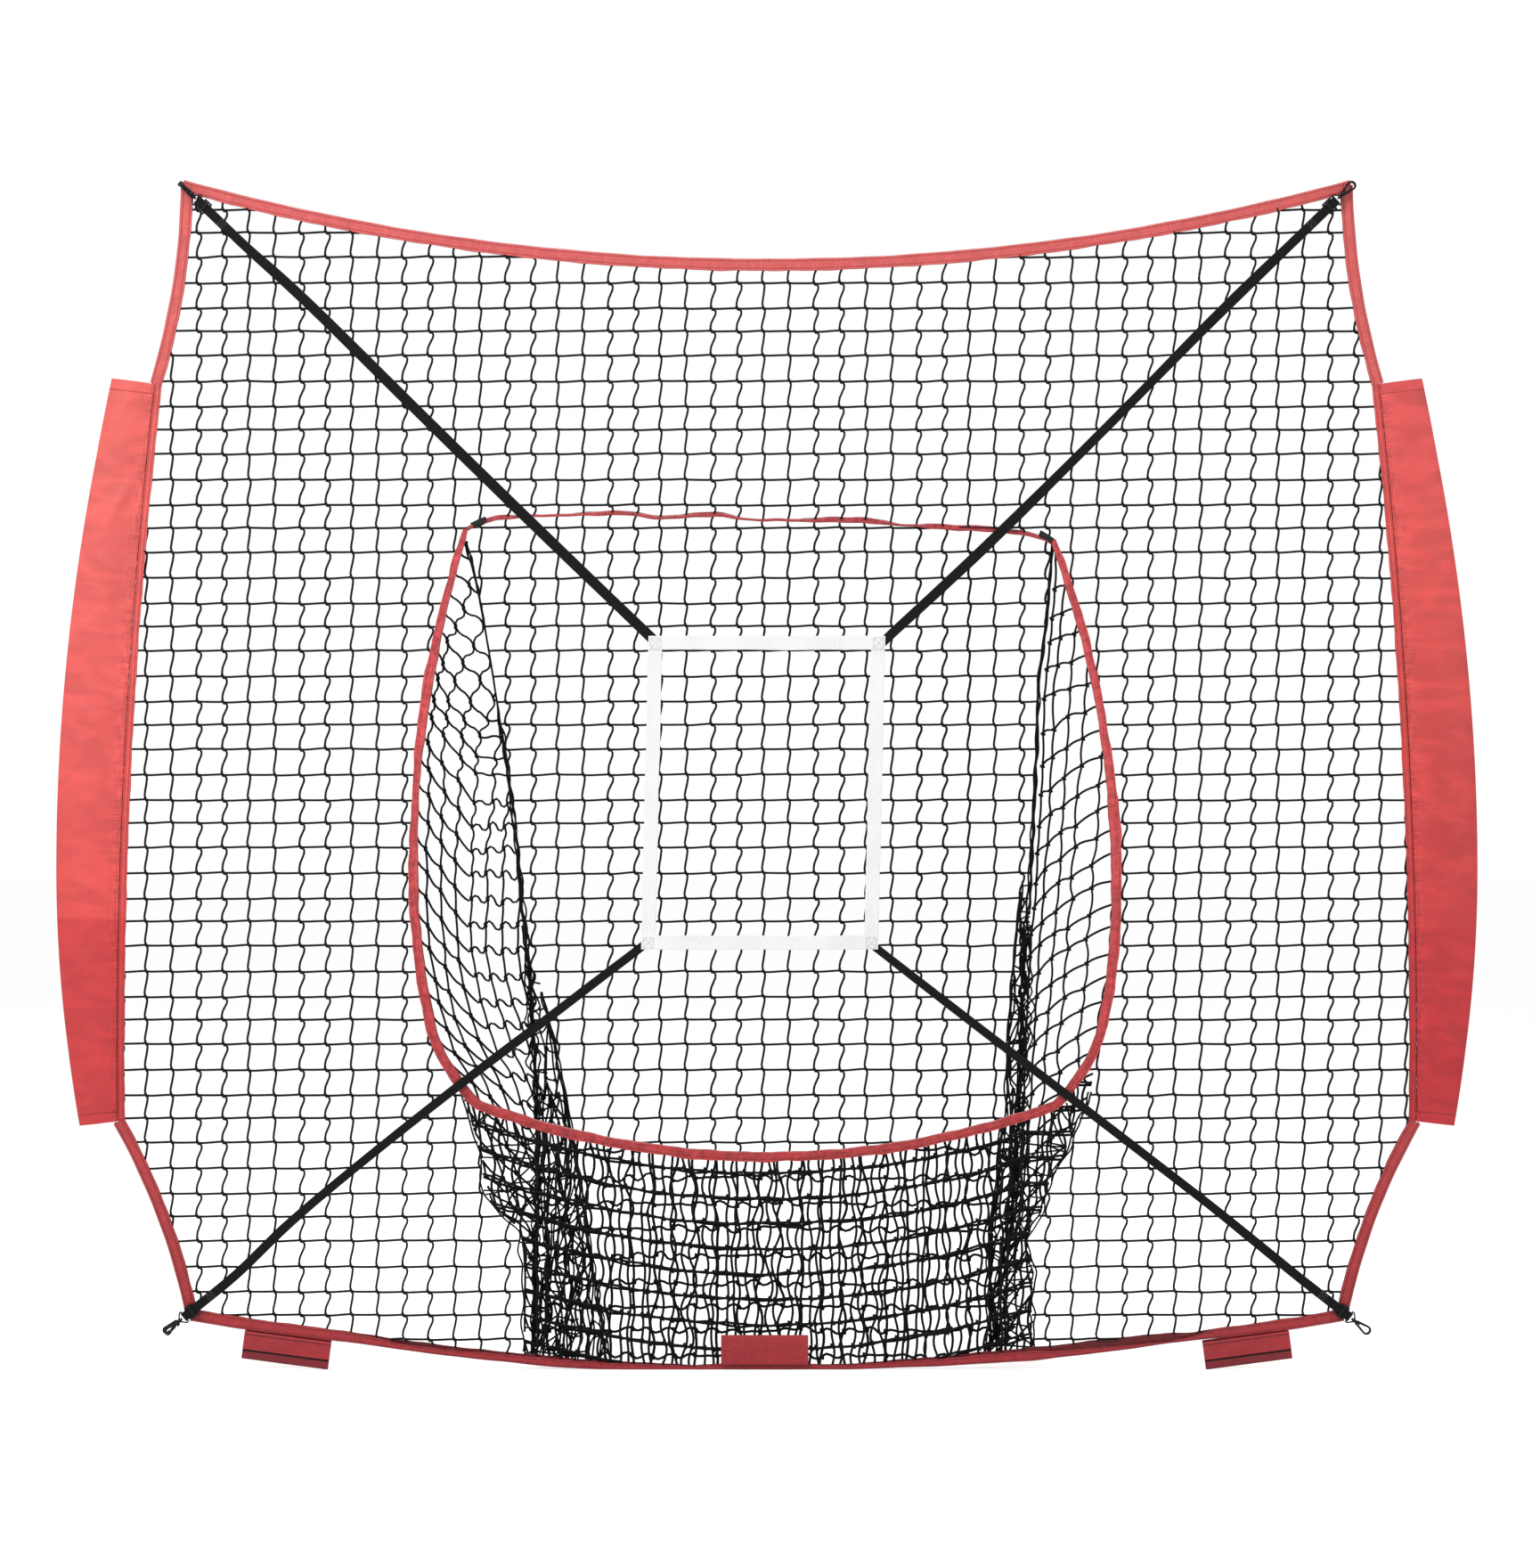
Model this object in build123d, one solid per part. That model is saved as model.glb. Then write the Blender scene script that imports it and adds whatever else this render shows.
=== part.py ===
from build123d import *
import math
import os

# A practice net for throwing and pitching: a square-mesh net with a red fabric edge, a mouth
# that opens into a ball pocket, two pole sleeves, three loops for a base tube, and a white
# strike target held by four webbing straps with swivel snap hooks.
# Millimetres, Z up, the net hangs in the plane y = 0 and the pitcher stands at -Y.

os.makedirs("parts", exist_ok=True)

# ---- the net and its edge -------------------------------------------------
net_thickness = 3.0          # knotted twine
tape_thickness = 1.2         # one layer of folded edge fabric
edge_thickness = net_thickness + 2 * tape_thickness
edge_width = 22.0            # the fabric edge, folded over the net
top_corner_x = 1045.0
top_corner_z = 2130.0
top_sag = 140.0              # the top edge hangs this much lower at its middle
sleeve_top_z = 1775.0
sleeve_bottom_z = 447.0
side_top_x = 1101.0          # middle of the edge where the sleeve starts
side_mid_x = 1158.0
side_mid_z = 1054.0
side_bottom_x = 1168.0
bottom_corner_x = 1038.0
bottom_corner_z = 106.0
bottom_sag = 95.0
waist_in = 11.0              # between sleeve and corner the side edge curves in this much
upper_waist_in = 14.0
waist_rise = 9.5             # deepest this far above the middle of that stretch

# ---- the pole sleeves -----------------------------------------------------
sleeve_belly_x = 1280.0      # the farthest point of the sleeve
sleeve_belly_z = 900.0
sleeve_top_x = 1180.0
sleeve_end_x = 1238.0
sleeve_depth = 26.0          # front to back, at the widest
sleeve_wall = 1.5
seam_over = 2.0              # the sleeve's seam band reaches this far past the net
stand_off = 0.3              # air between soft pieces that lie against each other

# ---- the mouth and the ball pocket ----------------------------------------
binding_width = 18.0
mouth_belly_x = 633.0        # half width of the mouth at its widest
mouth_belly_z = 862.0
mouth_top_x = 530.0
mouth_top_z = 1500.0
mouth_rise = 36.0            # the top edge bows up
mouth_cheek_x = 602.0
mouth_cheek_z = 605.0
mouth_chin_x = 520.0
mouth_chin_z = 476.0
mouth_bottom_z = 383.0
mouth_lean = 16.0            # the top of the mouth hangs this far to the left
ribbon_width = 8.0
wrap_length = 20.0
wrap_width = 12.0
pocket_depth = 180.0
pocket_low_z = 440.0         # height of the deepest part of the pocket
pocket_foot_x = 417.0        # half width of the pocket at the bottom edge
pocket_foot_z = 14.0
pocket_rope = 6.0            # the seams between its panels

# ---- the loops for the base tube ------------------------------------------
loop_width = 158.0
loop_drop = 54.0
loop_x = 862.0
loop_seat = 1.2              # air between a loop and the lower edge of the net
loop_tilt = 7.5              # degrees, along the slope of the bottom edge
loop_gap = 5.5               # inside, front to back
loop_fabric = 1.5
flap_length = 36.0
strip_height = 14.0
strip_thickness = 1.0
middle_loop_z = 8.0

# ---- the strike target ----------------------------------------------------
target_width = 426.0
target_height = 564.0
target_top_z = 1321.0
target_lean = 13.0           # its bottom hangs this far to the left
band_width = 25.0
band_thickness = 2.0

# ---- straps and snap hooks ------------------------------------------------
strap_width = 17.0
strap_thickness = 1.5
upper_eye_in = 21.0          # the upper eyes sit inside the net's corners
upper_eye_down = 26.0
lower_eye_out = 10.0         # the lower eyes hang outside them
lower_eye_down = 10.0
fold_radius = 1.7            # inside of the fold round the eye's bar
fold_length = 44.0
sewn_length = 16.0
tuck = 18.0                  # strap end hidden behind the target
slider_length = 16.0
slider_rail = 3.6
eye_wire = 2.6
hook_wire = 3.5
hook_thickness = 4.0
hook_radius = 8.5            # outside of the bow
hook_reach = 47.5            # from the eye's bar to the tip
hook_turn = {"upper_left": 90.0, "upper_right": 0.0, "lower_left": 45.0, "lower_right": 180.0}

hook_plane = edge_thickness / 2 + stand_off + hook_radius + 0.05
band_plane = hook_plane + fold_radius + strap_thickness


def slab(sketch, front, back):
    """A flat piece in the plane of the net, from y = -front to y = back."""
    return extrude(Plane.XZ.offset(front) * sketch, amount=-(front + back))


def save(piece, name):
    solids = piece.solids()
    result = solids[0] if len(solids) == 1 else Compound(children=solids)
    result.label = name
    export_step(result, "parts/" + name + ".step")
    print(name, len(solids), round(result.volume / 1000.0, 2), "cm3")


def blend_between(value, low, high):
    """0 below low, 1 above high, straight in between."""
    return min(1.0, max(0.0, (value - low) / (high - low)))


# ---- outline of the net, along the middle of its fabric edge ---------------
top_left = (-top_corner_x, top_corner_z)
top_right = (top_corner_x, top_corner_z)
outline_edges = [
    ThreePointArc(top_left, (0, top_corner_z - top_sag), top_right),
    ThreePointArc((-bottom_corner_x, bottom_corner_z), (0, bottom_corner_z - bottom_sag),
                  (bottom_corner_x, bottom_corner_z)),
]
for side in (-1, 1):
    corner = (side * top_corner_x, top_corner_z)
    shoulder = (side * side_top_x, sleeve_top_z)
    hip = (side * side_bottom_x, sleeve_bottom_z)
    foot = (side * bottom_corner_x, bottom_corner_z)
    upper_waist = (side * ((top_corner_x + side_top_x) / 2 - upper_waist_in),
                   (top_corner_z + sleeve_top_z) / 2 + waist_rise)
    waist = (side * ((bottom_corner_x + side_bottom_x) / 2 - waist_in),
             (bottom_corner_z + sleeve_bottom_z) / 2 + waist_rise)
    outline_edges.append(ThreePointArc(corner, upper_waist, shoulder))
    outline_edges.append(ThreePointArc(shoulder, (side * side_mid_x, side_mid_z), hip))
    outline_edges.append(ThreePointArc(hip, waist, foot))
outline = make_face(outline_edges)
edge_outer = offset(outline, edge_width / 2, kind=Kind.INTERSECTION)
edge_inner = offset(outline, -edge_width / 2, kind=Kind.INTERSECTION)

# ---- outline of the mouth ---------------------------------------------------


def lean(z):
    """Sideways shift of the mouth and pocket at a height."""
    return -mouth_lean * blend_between(z, mouth_bottom_z, mouth_top_z) ** 2


mouth_edges = [
    ThreePointArc((lean(mouth_top_z) - mouth_top_x, mouth_top_z),
                  (lean(mouth_top_z), mouth_top_z + mouth_rise),
                  (lean(mouth_top_z) + mouth_top_x, mouth_top_z)),
    ThreePointArc((-mouth_chin_x, mouth_chin_z), (0, mouth_bottom_z), (mouth_chin_x, mouth_chin_z)),
]
for side in (-1, 1):
    corner = (lean(mouth_top_z) + side * mouth_top_x, mouth_top_z)
    upper = ((mouth_top_z + mouth_belly_z) / 2)
    upper_point = (lean(upper) + side * (0.78 * mouth_belly_x + 0.22 * mouth_top_x), upper)
    belly = (lean(mouth_belly_z) + side * mouth_belly_x, mouth_belly_z)
    low = (mouth_belly_z + mouth_cheek_z) / 2
    low_point = (lean(low) + side * (0.73 * mouth_belly_x + 0.27 * mouth_cheek_x), low)
    cheek = (side * mouth_cheek_x, mouth_cheek_z)
    jaw = (side * (mouth_cheek_x + mouth_chin_x + 12) / 2, (mouth_cheek_z + mouth_chin_z - 14) / 2)
    chin = (side * mouth_chin_x, mouth_chin_z)
    mouth_edges.append(ThreePointArc(corner, upper_point, belly))
    mouth_edges.append(ThreePointArc(belly, low_point, cheek))
    mouth_edges.append(ThreePointArc(cheek, jaw, chin))
mouth = make_face(mouth_edges)
binding_region = (offset(mouth, binding_width / 2, kind=Kind.ARC)
                  - offset(mouth, -binding_width / 2, kind=Kind.ARC))
ribbon_region = (offset(mouth, ribbon_width / 2, kind=Kind.ARC)
                 - offset(mouth, -ribbon_width / 2, kind=Kind.ARC))
ribbon_clear = (offset(mouth, ribbon_width / 2 + stand_off, kind=Kind.ARC)
                - offset(mouth, -ribbon_width / 2 - stand_off, kind=Kind.ARC))

# ---- the front net ------------------------------------------------------------
net_sketch = outline - mouth
save(slab(net_sketch, net_thickness / 2, net_thickness / 2), "front_net")
slot_sketch = (offset(outline, stand_off, kind=Kind.INTERSECTION)
               - offset(mouth, -stand_off, kind=Kind.ARC))
net_slot = slab(slot_sketch, net_thickness / 2, net_thickness / 2)

# ---- the fabric edge, cut at the corners and at the sleeves -------------------
half_edge = edge_thickness / 2
reach = 60.0
top_mask = make_face(Polyline(
    (-top_corner_x - reach, top_corner_z + reach), (-top_corner_x + reach, top_corner_z - reach),
    (-top_corner_x + reach, top_corner_z - 3 * top_sag),
    (top_corner_x - reach, top_corner_z - 3 * top_sag),
    (top_corner_x - reach, top_corner_z - reach), (top_corner_x + reach, top_corner_z + reach),
    close=True))
bottom_mask = make_face(Polyline(
    (-bottom_corner_x - reach, bottom_corner_z - reach),
    (-bottom_corner_x + reach, bottom_corner_z + reach),
    (bottom_corner_x - reach, bottom_corner_z + reach),
    (bottom_corner_x + reach, bottom_corner_z - reach),
    (bottom_corner_x + reach, -3 * reach), (-bottom_corner_x - reach, -3 * reach),
    close=True))
edge_region = edge_outer - edge_inner
span = top_corner_z - sleeve_top_z


def side_mask(side, low, high):
    """A tall box over one side of the net between two heights."""
    return Pos(side * side_mid_x, (low + high) / 2) * Rectangle(600, high - low)


save(slab(edge_region & top_mask, half_edge, half_edge) - net_slot, "top_hem")
save(slab(edge_region & bottom_mask, half_edge, half_edge) - net_slot, "bottom_hem")
for side, word in ((-1, "left"), (1, "right")):
    upper_hem = (edge_region & side_mask(side, sleeve_top_z, top_corner_z + reach)) - top_mask
    lower_hem = (edge_region & side_mask(side, -reach, sleeve_bottom_z)) - bottom_mask
    save(slab(upper_hem, half_edge, half_edge) - net_slot, word + "_upper_hem")
    save(slab(lower_hem, half_edge, half_edge) - net_slot, word + "_lower_hem")

# ---- pole sleeves: a stitched seam band and an open-ended fabric tunnel --------
seam_region = offset(outline, seam_over, kind=Kind.INTERSECTION) - edge_inner


def circle_through(a, b, c):
    """Centre and radius of the circle through three points."""
    turn = 2 * (a[0] * (b[1] - c[1]) + b[0] * (c[1] - a[1]) + c[0] * (a[1] - b[1]))
    aa = a[0] ** 2 + a[1] ** 2
    bb = b[0] ** 2 + b[1] ** 2
    cc = c[0] ** 2 + c[1] ** 2
    x = (aa * (b[1] - c[1]) + bb * (c[1] - a[1]) + cc * (a[1] - b[1])) / turn
    y = (aa * (c[0] - b[0]) + bb * (a[0] - c[0]) + cc * (b[0] - a[0])) / turn
    return x, y, math.hypot(a[0] - x, a[1] - y)


arc_x, arc_z, arc_radius = circle_through(
    (side_top_x, sleeve_top_z), (side_mid_x, side_mid_z), (side_bottom_x, sleeve_bottom_z))


def sleeve_inside(z):
    """Where the sleeve starts, just outside its seam band."""
    net_edge = arc_x + math.sqrt(arc_radius ** 2 - (z - arc_z) ** 2)
    return net_edge + seam_over + 2 * stand_off


def sleeve_outside(z):
    """The bowed outer fold of the sleeve."""
    if z > sleeve_belly_z:
        part = (z - sleeve_belly_z) / (sleeve_top_z - sleeve_belly_z)
        return sleeve_belly_x - (sleeve_belly_x - sleeve_top_x) * part ** 2
    part = (sleeve_belly_z - z) / (sleeve_belly_z - sleeve_bottom_z)
    return sleeve_belly_x - (sleeve_belly_x - sleeve_end_x) * part ** 2


def sleeve_section(z, at, inset):
    """One level cut through the sleeve: flat where it is sewn, round at the outer fold."""
    x = sleeve_inside(z) + inset
    width = sleeve_outside(z) - inset - x
    deep = sleeve_depth / 2 - inset
    slim = half_edge - inset * 0.9
    front_half = []
    steps = 7
    for i in range(steps):
        part = i / steps
        swell = math.sin(math.pi * (0.16 + 0.84 * part)) ** 0.7
        front_half.append((x + width * part, max(slim, deep * swell)))
    back_half = [(u, -v) for u, v in reversed(front_half)]
    return Plane.XY.offset(at) * make_face(Polyline(*front_half, (x + width, 0), *back_half, close=True))


levels = 9
heights = [sleeve_bottom_z + (sleeve_top_z - sleeve_bottom_z) * i / (levels - 1) for i in range(levels)]
sleeve_skin = loft([sleeve_section(z, z, 0) for z in heights], ruled=True)
hollow_heights = [sleeve_bottom_z - 1] + heights[1:-1] + [sleeve_top_z + 1]
hollow_sections = [sleeve_section(z, at, sleeve_wall) for z, at in zip(heights, hollow_heights)]
hollow = loft(hollow_sections, ruled=True)
right_sleeve = sleeve_skin - hollow
for side, word in ((-1, "left"), (1, "right")):
    band = seam_region & side_mask(side, sleeve_bottom_z, sleeve_top_z)
    save(slab(band, half_edge, half_edge) - net_slot, word + "_sleeve_seam")
    save(right_sleeve if side > 0 else mirror(right_sleeve, about=Plane.YZ), word + "_pole_sleeve")

# ---- binding round the mouth ---------------------------------------------------
shift = lean(mouth_top_z)
mouth_mask = make_face(Polyline(
    (shift - mouth_top_x - reach, mouth_top_z + 0.5 * reach),
    (shift - mouth_top_x + reach, mouth_top_z - 0.5 * reach),
    (shift + mouth_top_x - reach, mouth_top_z - 0.5 * reach),
    (shift + mouth_top_x + reach, mouth_top_z + 0.5 * reach),
    (shift + mouth_top_x + reach, mouth_top_z + 3 * reach),
    (shift - mouth_top_x - reach, mouth_top_z + 3 * reach), close=True))
save(slab(binding_region - mouth_mask, half_edge, half_edge) - net_slot, "mouth_binding")
ribbon = slab(ribbon_region & mouth_mask, half_edge, half_edge) - net_slot
save(ribbon, "mouth_top_ribbon")
wrap_slope = math.degrees(math.atan2(4 * mouth_rise, 2 * mouth_top_x)) * 0.97
for side, word in ((-1, "left"), (1, "right")):
    lift = mouth_rise * (1 - ((mouth_top_x - 25) / mouth_top_x) ** 2)
    spot = Pos(shift + side * (mouth_top_x - 25), mouth_top_z + lift) * Rot(0, 0, -side * wrap_slope)
    jacket = slab(spot * Rectangle(wrap_length, wrap_width), half_edge + 1.2, half_edge + 1.2)
    passage = slab(ribbon_clear, half_edge, half_edge)
    save(jacket - passage - net_slot, word + "_mouth_wrap")

# ---- the ball pocket: a back panel, two side panels and the ropes that join them --


def pocket_back_y(z):
    """How far behind the net the back panel hangs."""
    touch = half_edge + stand_off
    if z > pocket_low_z:
        part = (z - pocket_low_z) / (mouth_top_z + mouth_rise * 0.5 - pocket_low_z)
        return touch + pocket_depth * max(0.0, 1 - part ** 1.5)
    part = (pocket_low_z - z) / (pocket_low_z - pocket_foot_z)
    return touch + pocket_depth * max(0.0, 1 - part ** 2.2)


def pocket_half(z):
    """Half width of the back panel."""
    part = blend_between(z, 200.0, mouth_top_z)
    return pocket_foot_x + (mouth_top_x - 2 - pocket_foot_x) * part ** 1.6


def mouth_half(z):
    """Half width of the mouth, and below it of the pocket's front edge."""
    if z > mouth_belly_z:
        part = (z - mouth_belly_z) / (mouth_top_z - mouth_belly_z)
        return mouth_belly_x - (mouth_belly_x - mouth_top_x) * part ** 2
    if z > mouth_chin_z:
        part = (mouth_belly_z - z) / (mouth_belly_z - mouth_chin_z)
        return mouth_belly_x - (mouth_belly_x - mouth_chin_x - 30) * part ** 3
    part = blend_between(z, 60.0, mouth_chin_z)
    return pocket_foot_x + 15 + (mouth_chin_x + 15 - pocket_foot_x) * part ** 1.5


def quad(z, points):
    return Plane.XY.offset(z) * make_face(Polyline(*points, close=True))


def back_section(z):
    half = pocket_half(z) - pocket_rope / 2 - stand_off
    near = pocket_back_y(z)
    middle = lean(z)
    return quad(z, [(middle - half, near), (middle + half, near),
                    (middle + half, near + net_thickness), (middle - half, near + net_thickness)])


def rope_section(z, side):
    x = lean(z) + side * pocket_half(z)
    near = pocket_back_y(z)
    half = pocket_rope / 2
    return quad(z, [(x - half, near), (x + half, near), (x + half, near + pocket_rope),
                    (x - half, near + pocket_rope)])


def cheek_section(z, side):
    """A side panel runs from the mouth's binding back to the rope."""
    x1 = lean(z) + side * mouth_half(z)
    y1 = half_edge + stand_off
    x2 = lean(z) + side * (pocket_half(z) + pocket_rope / 2 + stand_off)
    y2 = pocket_back_y(z)
    long = math.hypot(x2 - x1, y2 - y1)
    nx = side * (y2 - y1) / long * net_thickness
    ny = abs(x2 - x1) / long * net_thickness
    return quad(z, [(x1, y1), (x2, y2), (x2 + nx, y2 + ny), (x1 + nx, y1 + ny)])


def rows(low, high, count):
    return [low + (high - low) * i / (count - 1) for i in range(count)]


tall = mouth_top_z + mouth_rise * 0.5
save(loft([back_section(z) for z in rows(pocket_foot_z, tall, 10)], ruled=True), "pocket_back")
for side, word in ((-1, "left"), (1, "right")):
    rope_rows = rows(pocket_foot_z, mouth_top_z, 10)
    cheek_rows = rows(pocket_foot_z, mouth_top_z - 40, 10)
    save(loft([rope_section(z, side) for z in rope_rows], ruled=True), word + "_pocket_seam")
    save(loft([cheek_section(z, side) for z in cheek_rows], ruled=True), word + "_pocket_side")

# ---- loops for the base tube -----------------------------------------------------
inner_back = loop_gap / 2
outer_back = inner_back + loop_fabric
flap_back = outer_back + stand_off + strip_thickness
flap_front = flap_back + loop_fabric


def bar(y_low, y_high, z_low, z_high):
    """A level bar as wide as a loop, in the loop's own frame (its top edge is z = 0)."""
    middle = Pos(0, (y_low + y_high) / 2, (z_low + z_high) / 2)
    return middle * Box(loop_width, y_high - y_low, z_high - z_low)


flap_free = loop_drop - flap_length
wall_top = -loop_drop + flap_free + strip_height + 2
loop_body = bar(-outer_back, outer_back, -loop_drop, 0)
loop_body -= bar(-inner_back, inner_back, -loop_drop + loop_fabric, -loop_fabric)
loop_body -= bar(-outer_back - 1, -inner_back, wall_top, 1)
lower_edges = loop_body.edges().filter_by(Axis.X).group_by(Axis.Z)[0]
loop_body = fillet(lower_edges, 1.2)
loop_flap = bar(-flap_front, -flap_back, -flap_length, 0)
loop_flap = fillet(loop_flap.edges().filter_by(Axis.X).group_by(Axis.Z)[0], 0.6)
strip_low = -flap_length + 1
loop_strip = bar(-flap_back, -flap_back + strip_thickness, strip_low, strip_low + strip_height)

# the outer loops hang just under the fabric edge
low_x, low_z, low_radius = circle_through(
    (-bottom_corner_x, bottom_corner_z), (0, bottom_corner_z - bottom_sag),
    (bottom_corner_x, bottom_corner_z))
hem_under = low_z - math.sqrt((low_radius + edge_width / 2) ** 2 - loop_x ** 2)
loop_top_z = hem_under - loop_seat
# the middle loop is turned up in front of the net, so its flap faces the mesh
middle_y = -(half_edge + flap_front + 1.5 * stand_off)
loop_places = {
    "left": Pos(-loop_x, 0, loop_top_z) * Rot(0, loop_tilt, 0),
    "right": Pos(loop_x, 0, loop_top_z) * Rot(0, -loop_tilt, 0),
    "middle": Pos(-4, middle_y, middle_loop_z) * Rot(180, 0, 0),
}
for word, place in loop_places.items():
    save(place * loop_body, word + "_base_loop")
    save(place * loop_flap, word + "_loop_flap")
    save(place * loop_strip, word + "_loop_strip")

# ---- strike target: four webbing bands sewn at the corners ----------------------------
half_target = target_width / 2
target_bottom_z = target_top_z - target_height


def target_corner(across, up):
    """An outer corner of the target; across and up are -1 or 1."""
    drift = 0 if up > 0 else -target_lean
    return across * half_target + drift, target_top_z if up > 0 else target_bottom_z


for across, word in ((-1, "left"), (1, "right")):
    tx, tz = target_corner(across, 1)
    bx, bz = target_corner(across, -1)
    outline_band = make_face(Polyline((tx, tz), (bx, bz), (bx - across * band_width, bz),
                                      (tx - across * band_width, tz), close=True))
    save(slab(outline_band, band_plane + band_thickness, -band_plane), "target_" + word)
for up, word in ((1, "top"), (-1, "bottom")):
    lx, lz = target_corner(-1, up)
    rx, rz = target_corner(1, up)
    slip = up * target_lean * band_width / target_height
    outline_band = make_face(Polyline((lx, lz), (rx, rz), (rx - slip, rz - up * band_width),
                                      (lx - slip, lz - up * band_width), close=True))
    front = band_plane + 2 * band_thickness
    save(slab(outline_band, front, -band_plane - band_thickness), "target_" + word)

# ---- straps, sliders, swivel eyes and snap hooks ---------------------------------------
# Each is built with the strap along X, its width along Y, its front towards Z and the
# bar of the swivel eye at X = 0, and then laid on its diagonal.


def strap_shape(length):
    """Webbing from the target to a fold round the eye's bar, sewn back to itself."""
    near = fold_radius
    far = fold_radius + strap_thickness
    run = Pos((-length - tuck) / 2, 0, (near + far) / 2) * Box(length + tuck, strap_width, strap_thickness)
    ring = Cylinder(far, strap_width) - Cylinder(near, strap_width)
    fold = (Rot(90, 0, 0) * ring) & (Pos(far / 2, 0, 0) * Box(far, strap_width, 2 * far))
    back = Pos(-fold_length / 2, 0, -(near + far) / 2) * Box(fold_length, strap_width, strap_thickness)
    start = -fold_length
    ramp_end = start - 2.6 * far
    ramp = make_face(Polyline((start, -far), (start, -near), (ramp_end, near),
                              (ramp_end - sewn_length, near),
                              (ramp_end - sewn_length, near - strap_thickness),
                              (ramp_end, near - strap_thickness), close=True))
    ramp = extrude(Plane.XZ.offset(-strap_width / 2) * ramp, amount=strap_width)
    return run + fold + back + ramp


def slider_shape():
    """Three-bar slider: two bars between the layers of webbing, the middle one in front."""
    half = strap_width / 2 + 0.4
    front = fold_radius + strap_thickness + 0.3
    bar_depth = fold_radius - 0.4
    middle = -8 - slider_length / 2
    body = Box(slider_length, 0.01, 0.01)
    rails = []
    for side in (-1, 1):
        low = -bar_depth
        high = front + 1.8
        rails.append(Pos(middle, side * (half + slider_rail / 2), (low + high) / 2)
                     * Box(slider_length, slider_rail, high - low))
        spot = middle + side * (slider_length / 2 - 1.6)
        rails.append(Pos(spot, 0, 0) * Box(3.2, 2 * half + 1, 2 * bar_depth))
    rails.append(Pos(middle, 0, front + 0.9) * Box(4.2, 2 * half + 1, 1.8))
    body = rails[0]
    for piece in rails[1:]:
        body += piece
    tall_edges = body.edges().filter_by(Axis.Z).group_by(Axis.Y)
    return fillet(tall_edges[0] + tall_edges[-1], 1.2)


def eye_shape():
    """Swivel eye: a round bar in the webbing, two arms and a barrel for the hook's stem."""
    inside = strap_width / 2 + 1.0
    outside = inside + eye_wire
    arms = None
    for side in (-1, 1):
        arm = make_face(Polyline((-eye_wire / 2, side * inside), (-eye_wire / 2, side * outside),
                                 (3.8, side * outside), (12.4, side * 3.0), (9.4, side * 2.4),
                                 (3.0, side * inside), close=True))
        arm = extrude(arm, amount=eye_wire / 2, both=True)
        arms = arm if arms is None else arms + arm
    cross_bar = Rot(90, 0, 0) * Cylinder(eye_wire / 2, 2 * inside + 1)
    barrel = Pos(10.6, 0, 0) * (Rot(0, 90, 0) * Cylinder(3.4, 4.2))
    bore = Pos(10.6, 0, 0) * (Rot(0, 90, 0) * Cylinder(1.58, 12))
    return arms + cross_bar + barrel - bore


base_at = 18.0
bow_at = hook_reach - hook_radius
gate_pivot = (18.4, 1.9)
gate_start = 20.6
gate_length = bow_at - 3.4 - gate_pivot[0]


def hook_ring():
    """Flat pear-shaped ring of the hook, before its gate is cut free."""
    outer = make_hull((Pos(bow_at, 0) * Circle(hook_radius)).edges()
                      + (Pos(base_at, 0) * Circle(4.4)).edges())
    inner = make_hull((Pos(bow_at, 0) * Circle(hook_radius - hook_wire)).edges()
                      + (Pos(base_at + 6.4, 0) * Circle(1.5)).edges())
    return outer - inner


def gate_window(slack):
    """The stretch of the ring that swings open, ending on an arc about the gate's pin."""
    swing = Pos(gate_pivot[0], gate_pivot[1]) * Circle(gate_length - slack)
    return swing & (Pos(gate_start + 4 * slack + 10, 0.6 + hook_radius) * Rectangle(20, 2 * hook_radius))


def hook_shape():
    """Hook body: swivel stem with its head, fork for the gate, back and bow."""
    flat = extrude(hook_ring() - gate_window(0), amount=hook_thickness / 2, both=True)
    slot = Pos(20.6, 2.15, 0) * Box(8.8, 7.7, 2.2)
    stem = Pos(10.9, 0, 0) * (Rot(0, 90, 0) * Cylinder(1.5, 9.6))
    head = Pos(6.5, 0, 0) * (Rot(0, 90, 0) * Cylinder(2.4, 2.0))
    collar = Pos(14.2, 0, 0) * (Rot(0, 90, 0) * Cylinder(2.9, 1.8))
    hole = Pos(gate_pivot[0], gate_pivot[1], 0) * Cylinder(0.8, 8)
    return flat - slot + stem + head + collar - hole


def gate_shape():
    """Sprung gate that closes the hook's mouth."""
    blade = extrude(hook_ring() & gate_window(stand_off), amount=1.6, both=True)
    root = Pos(gate_pivot[0], gate_pivot[1], 0) * Cylinder(1.8, 1.8)
    link = Pos(gate_pivot[0] + 2.4, gate_pivot[1] + 0.6, 0) * Box(4.2, 1.9, 1.8)
    hole = Pos(gate_pivot[0], gate_pivot[1], 0) * Cylinder(0.88, 8)
    shaved = blade - Pos(gate_pivot[0], gate_pivot[1], 0) * (Cylinder(6.6, 8) - Cylinder(6.6, 1.8))
    return shaved + root + link - hole


def gate_pin():
    return Pos(gate_pivot[0], gate_pivot[1], 0) * Cylinder(0.8, hook_thickness)


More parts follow.
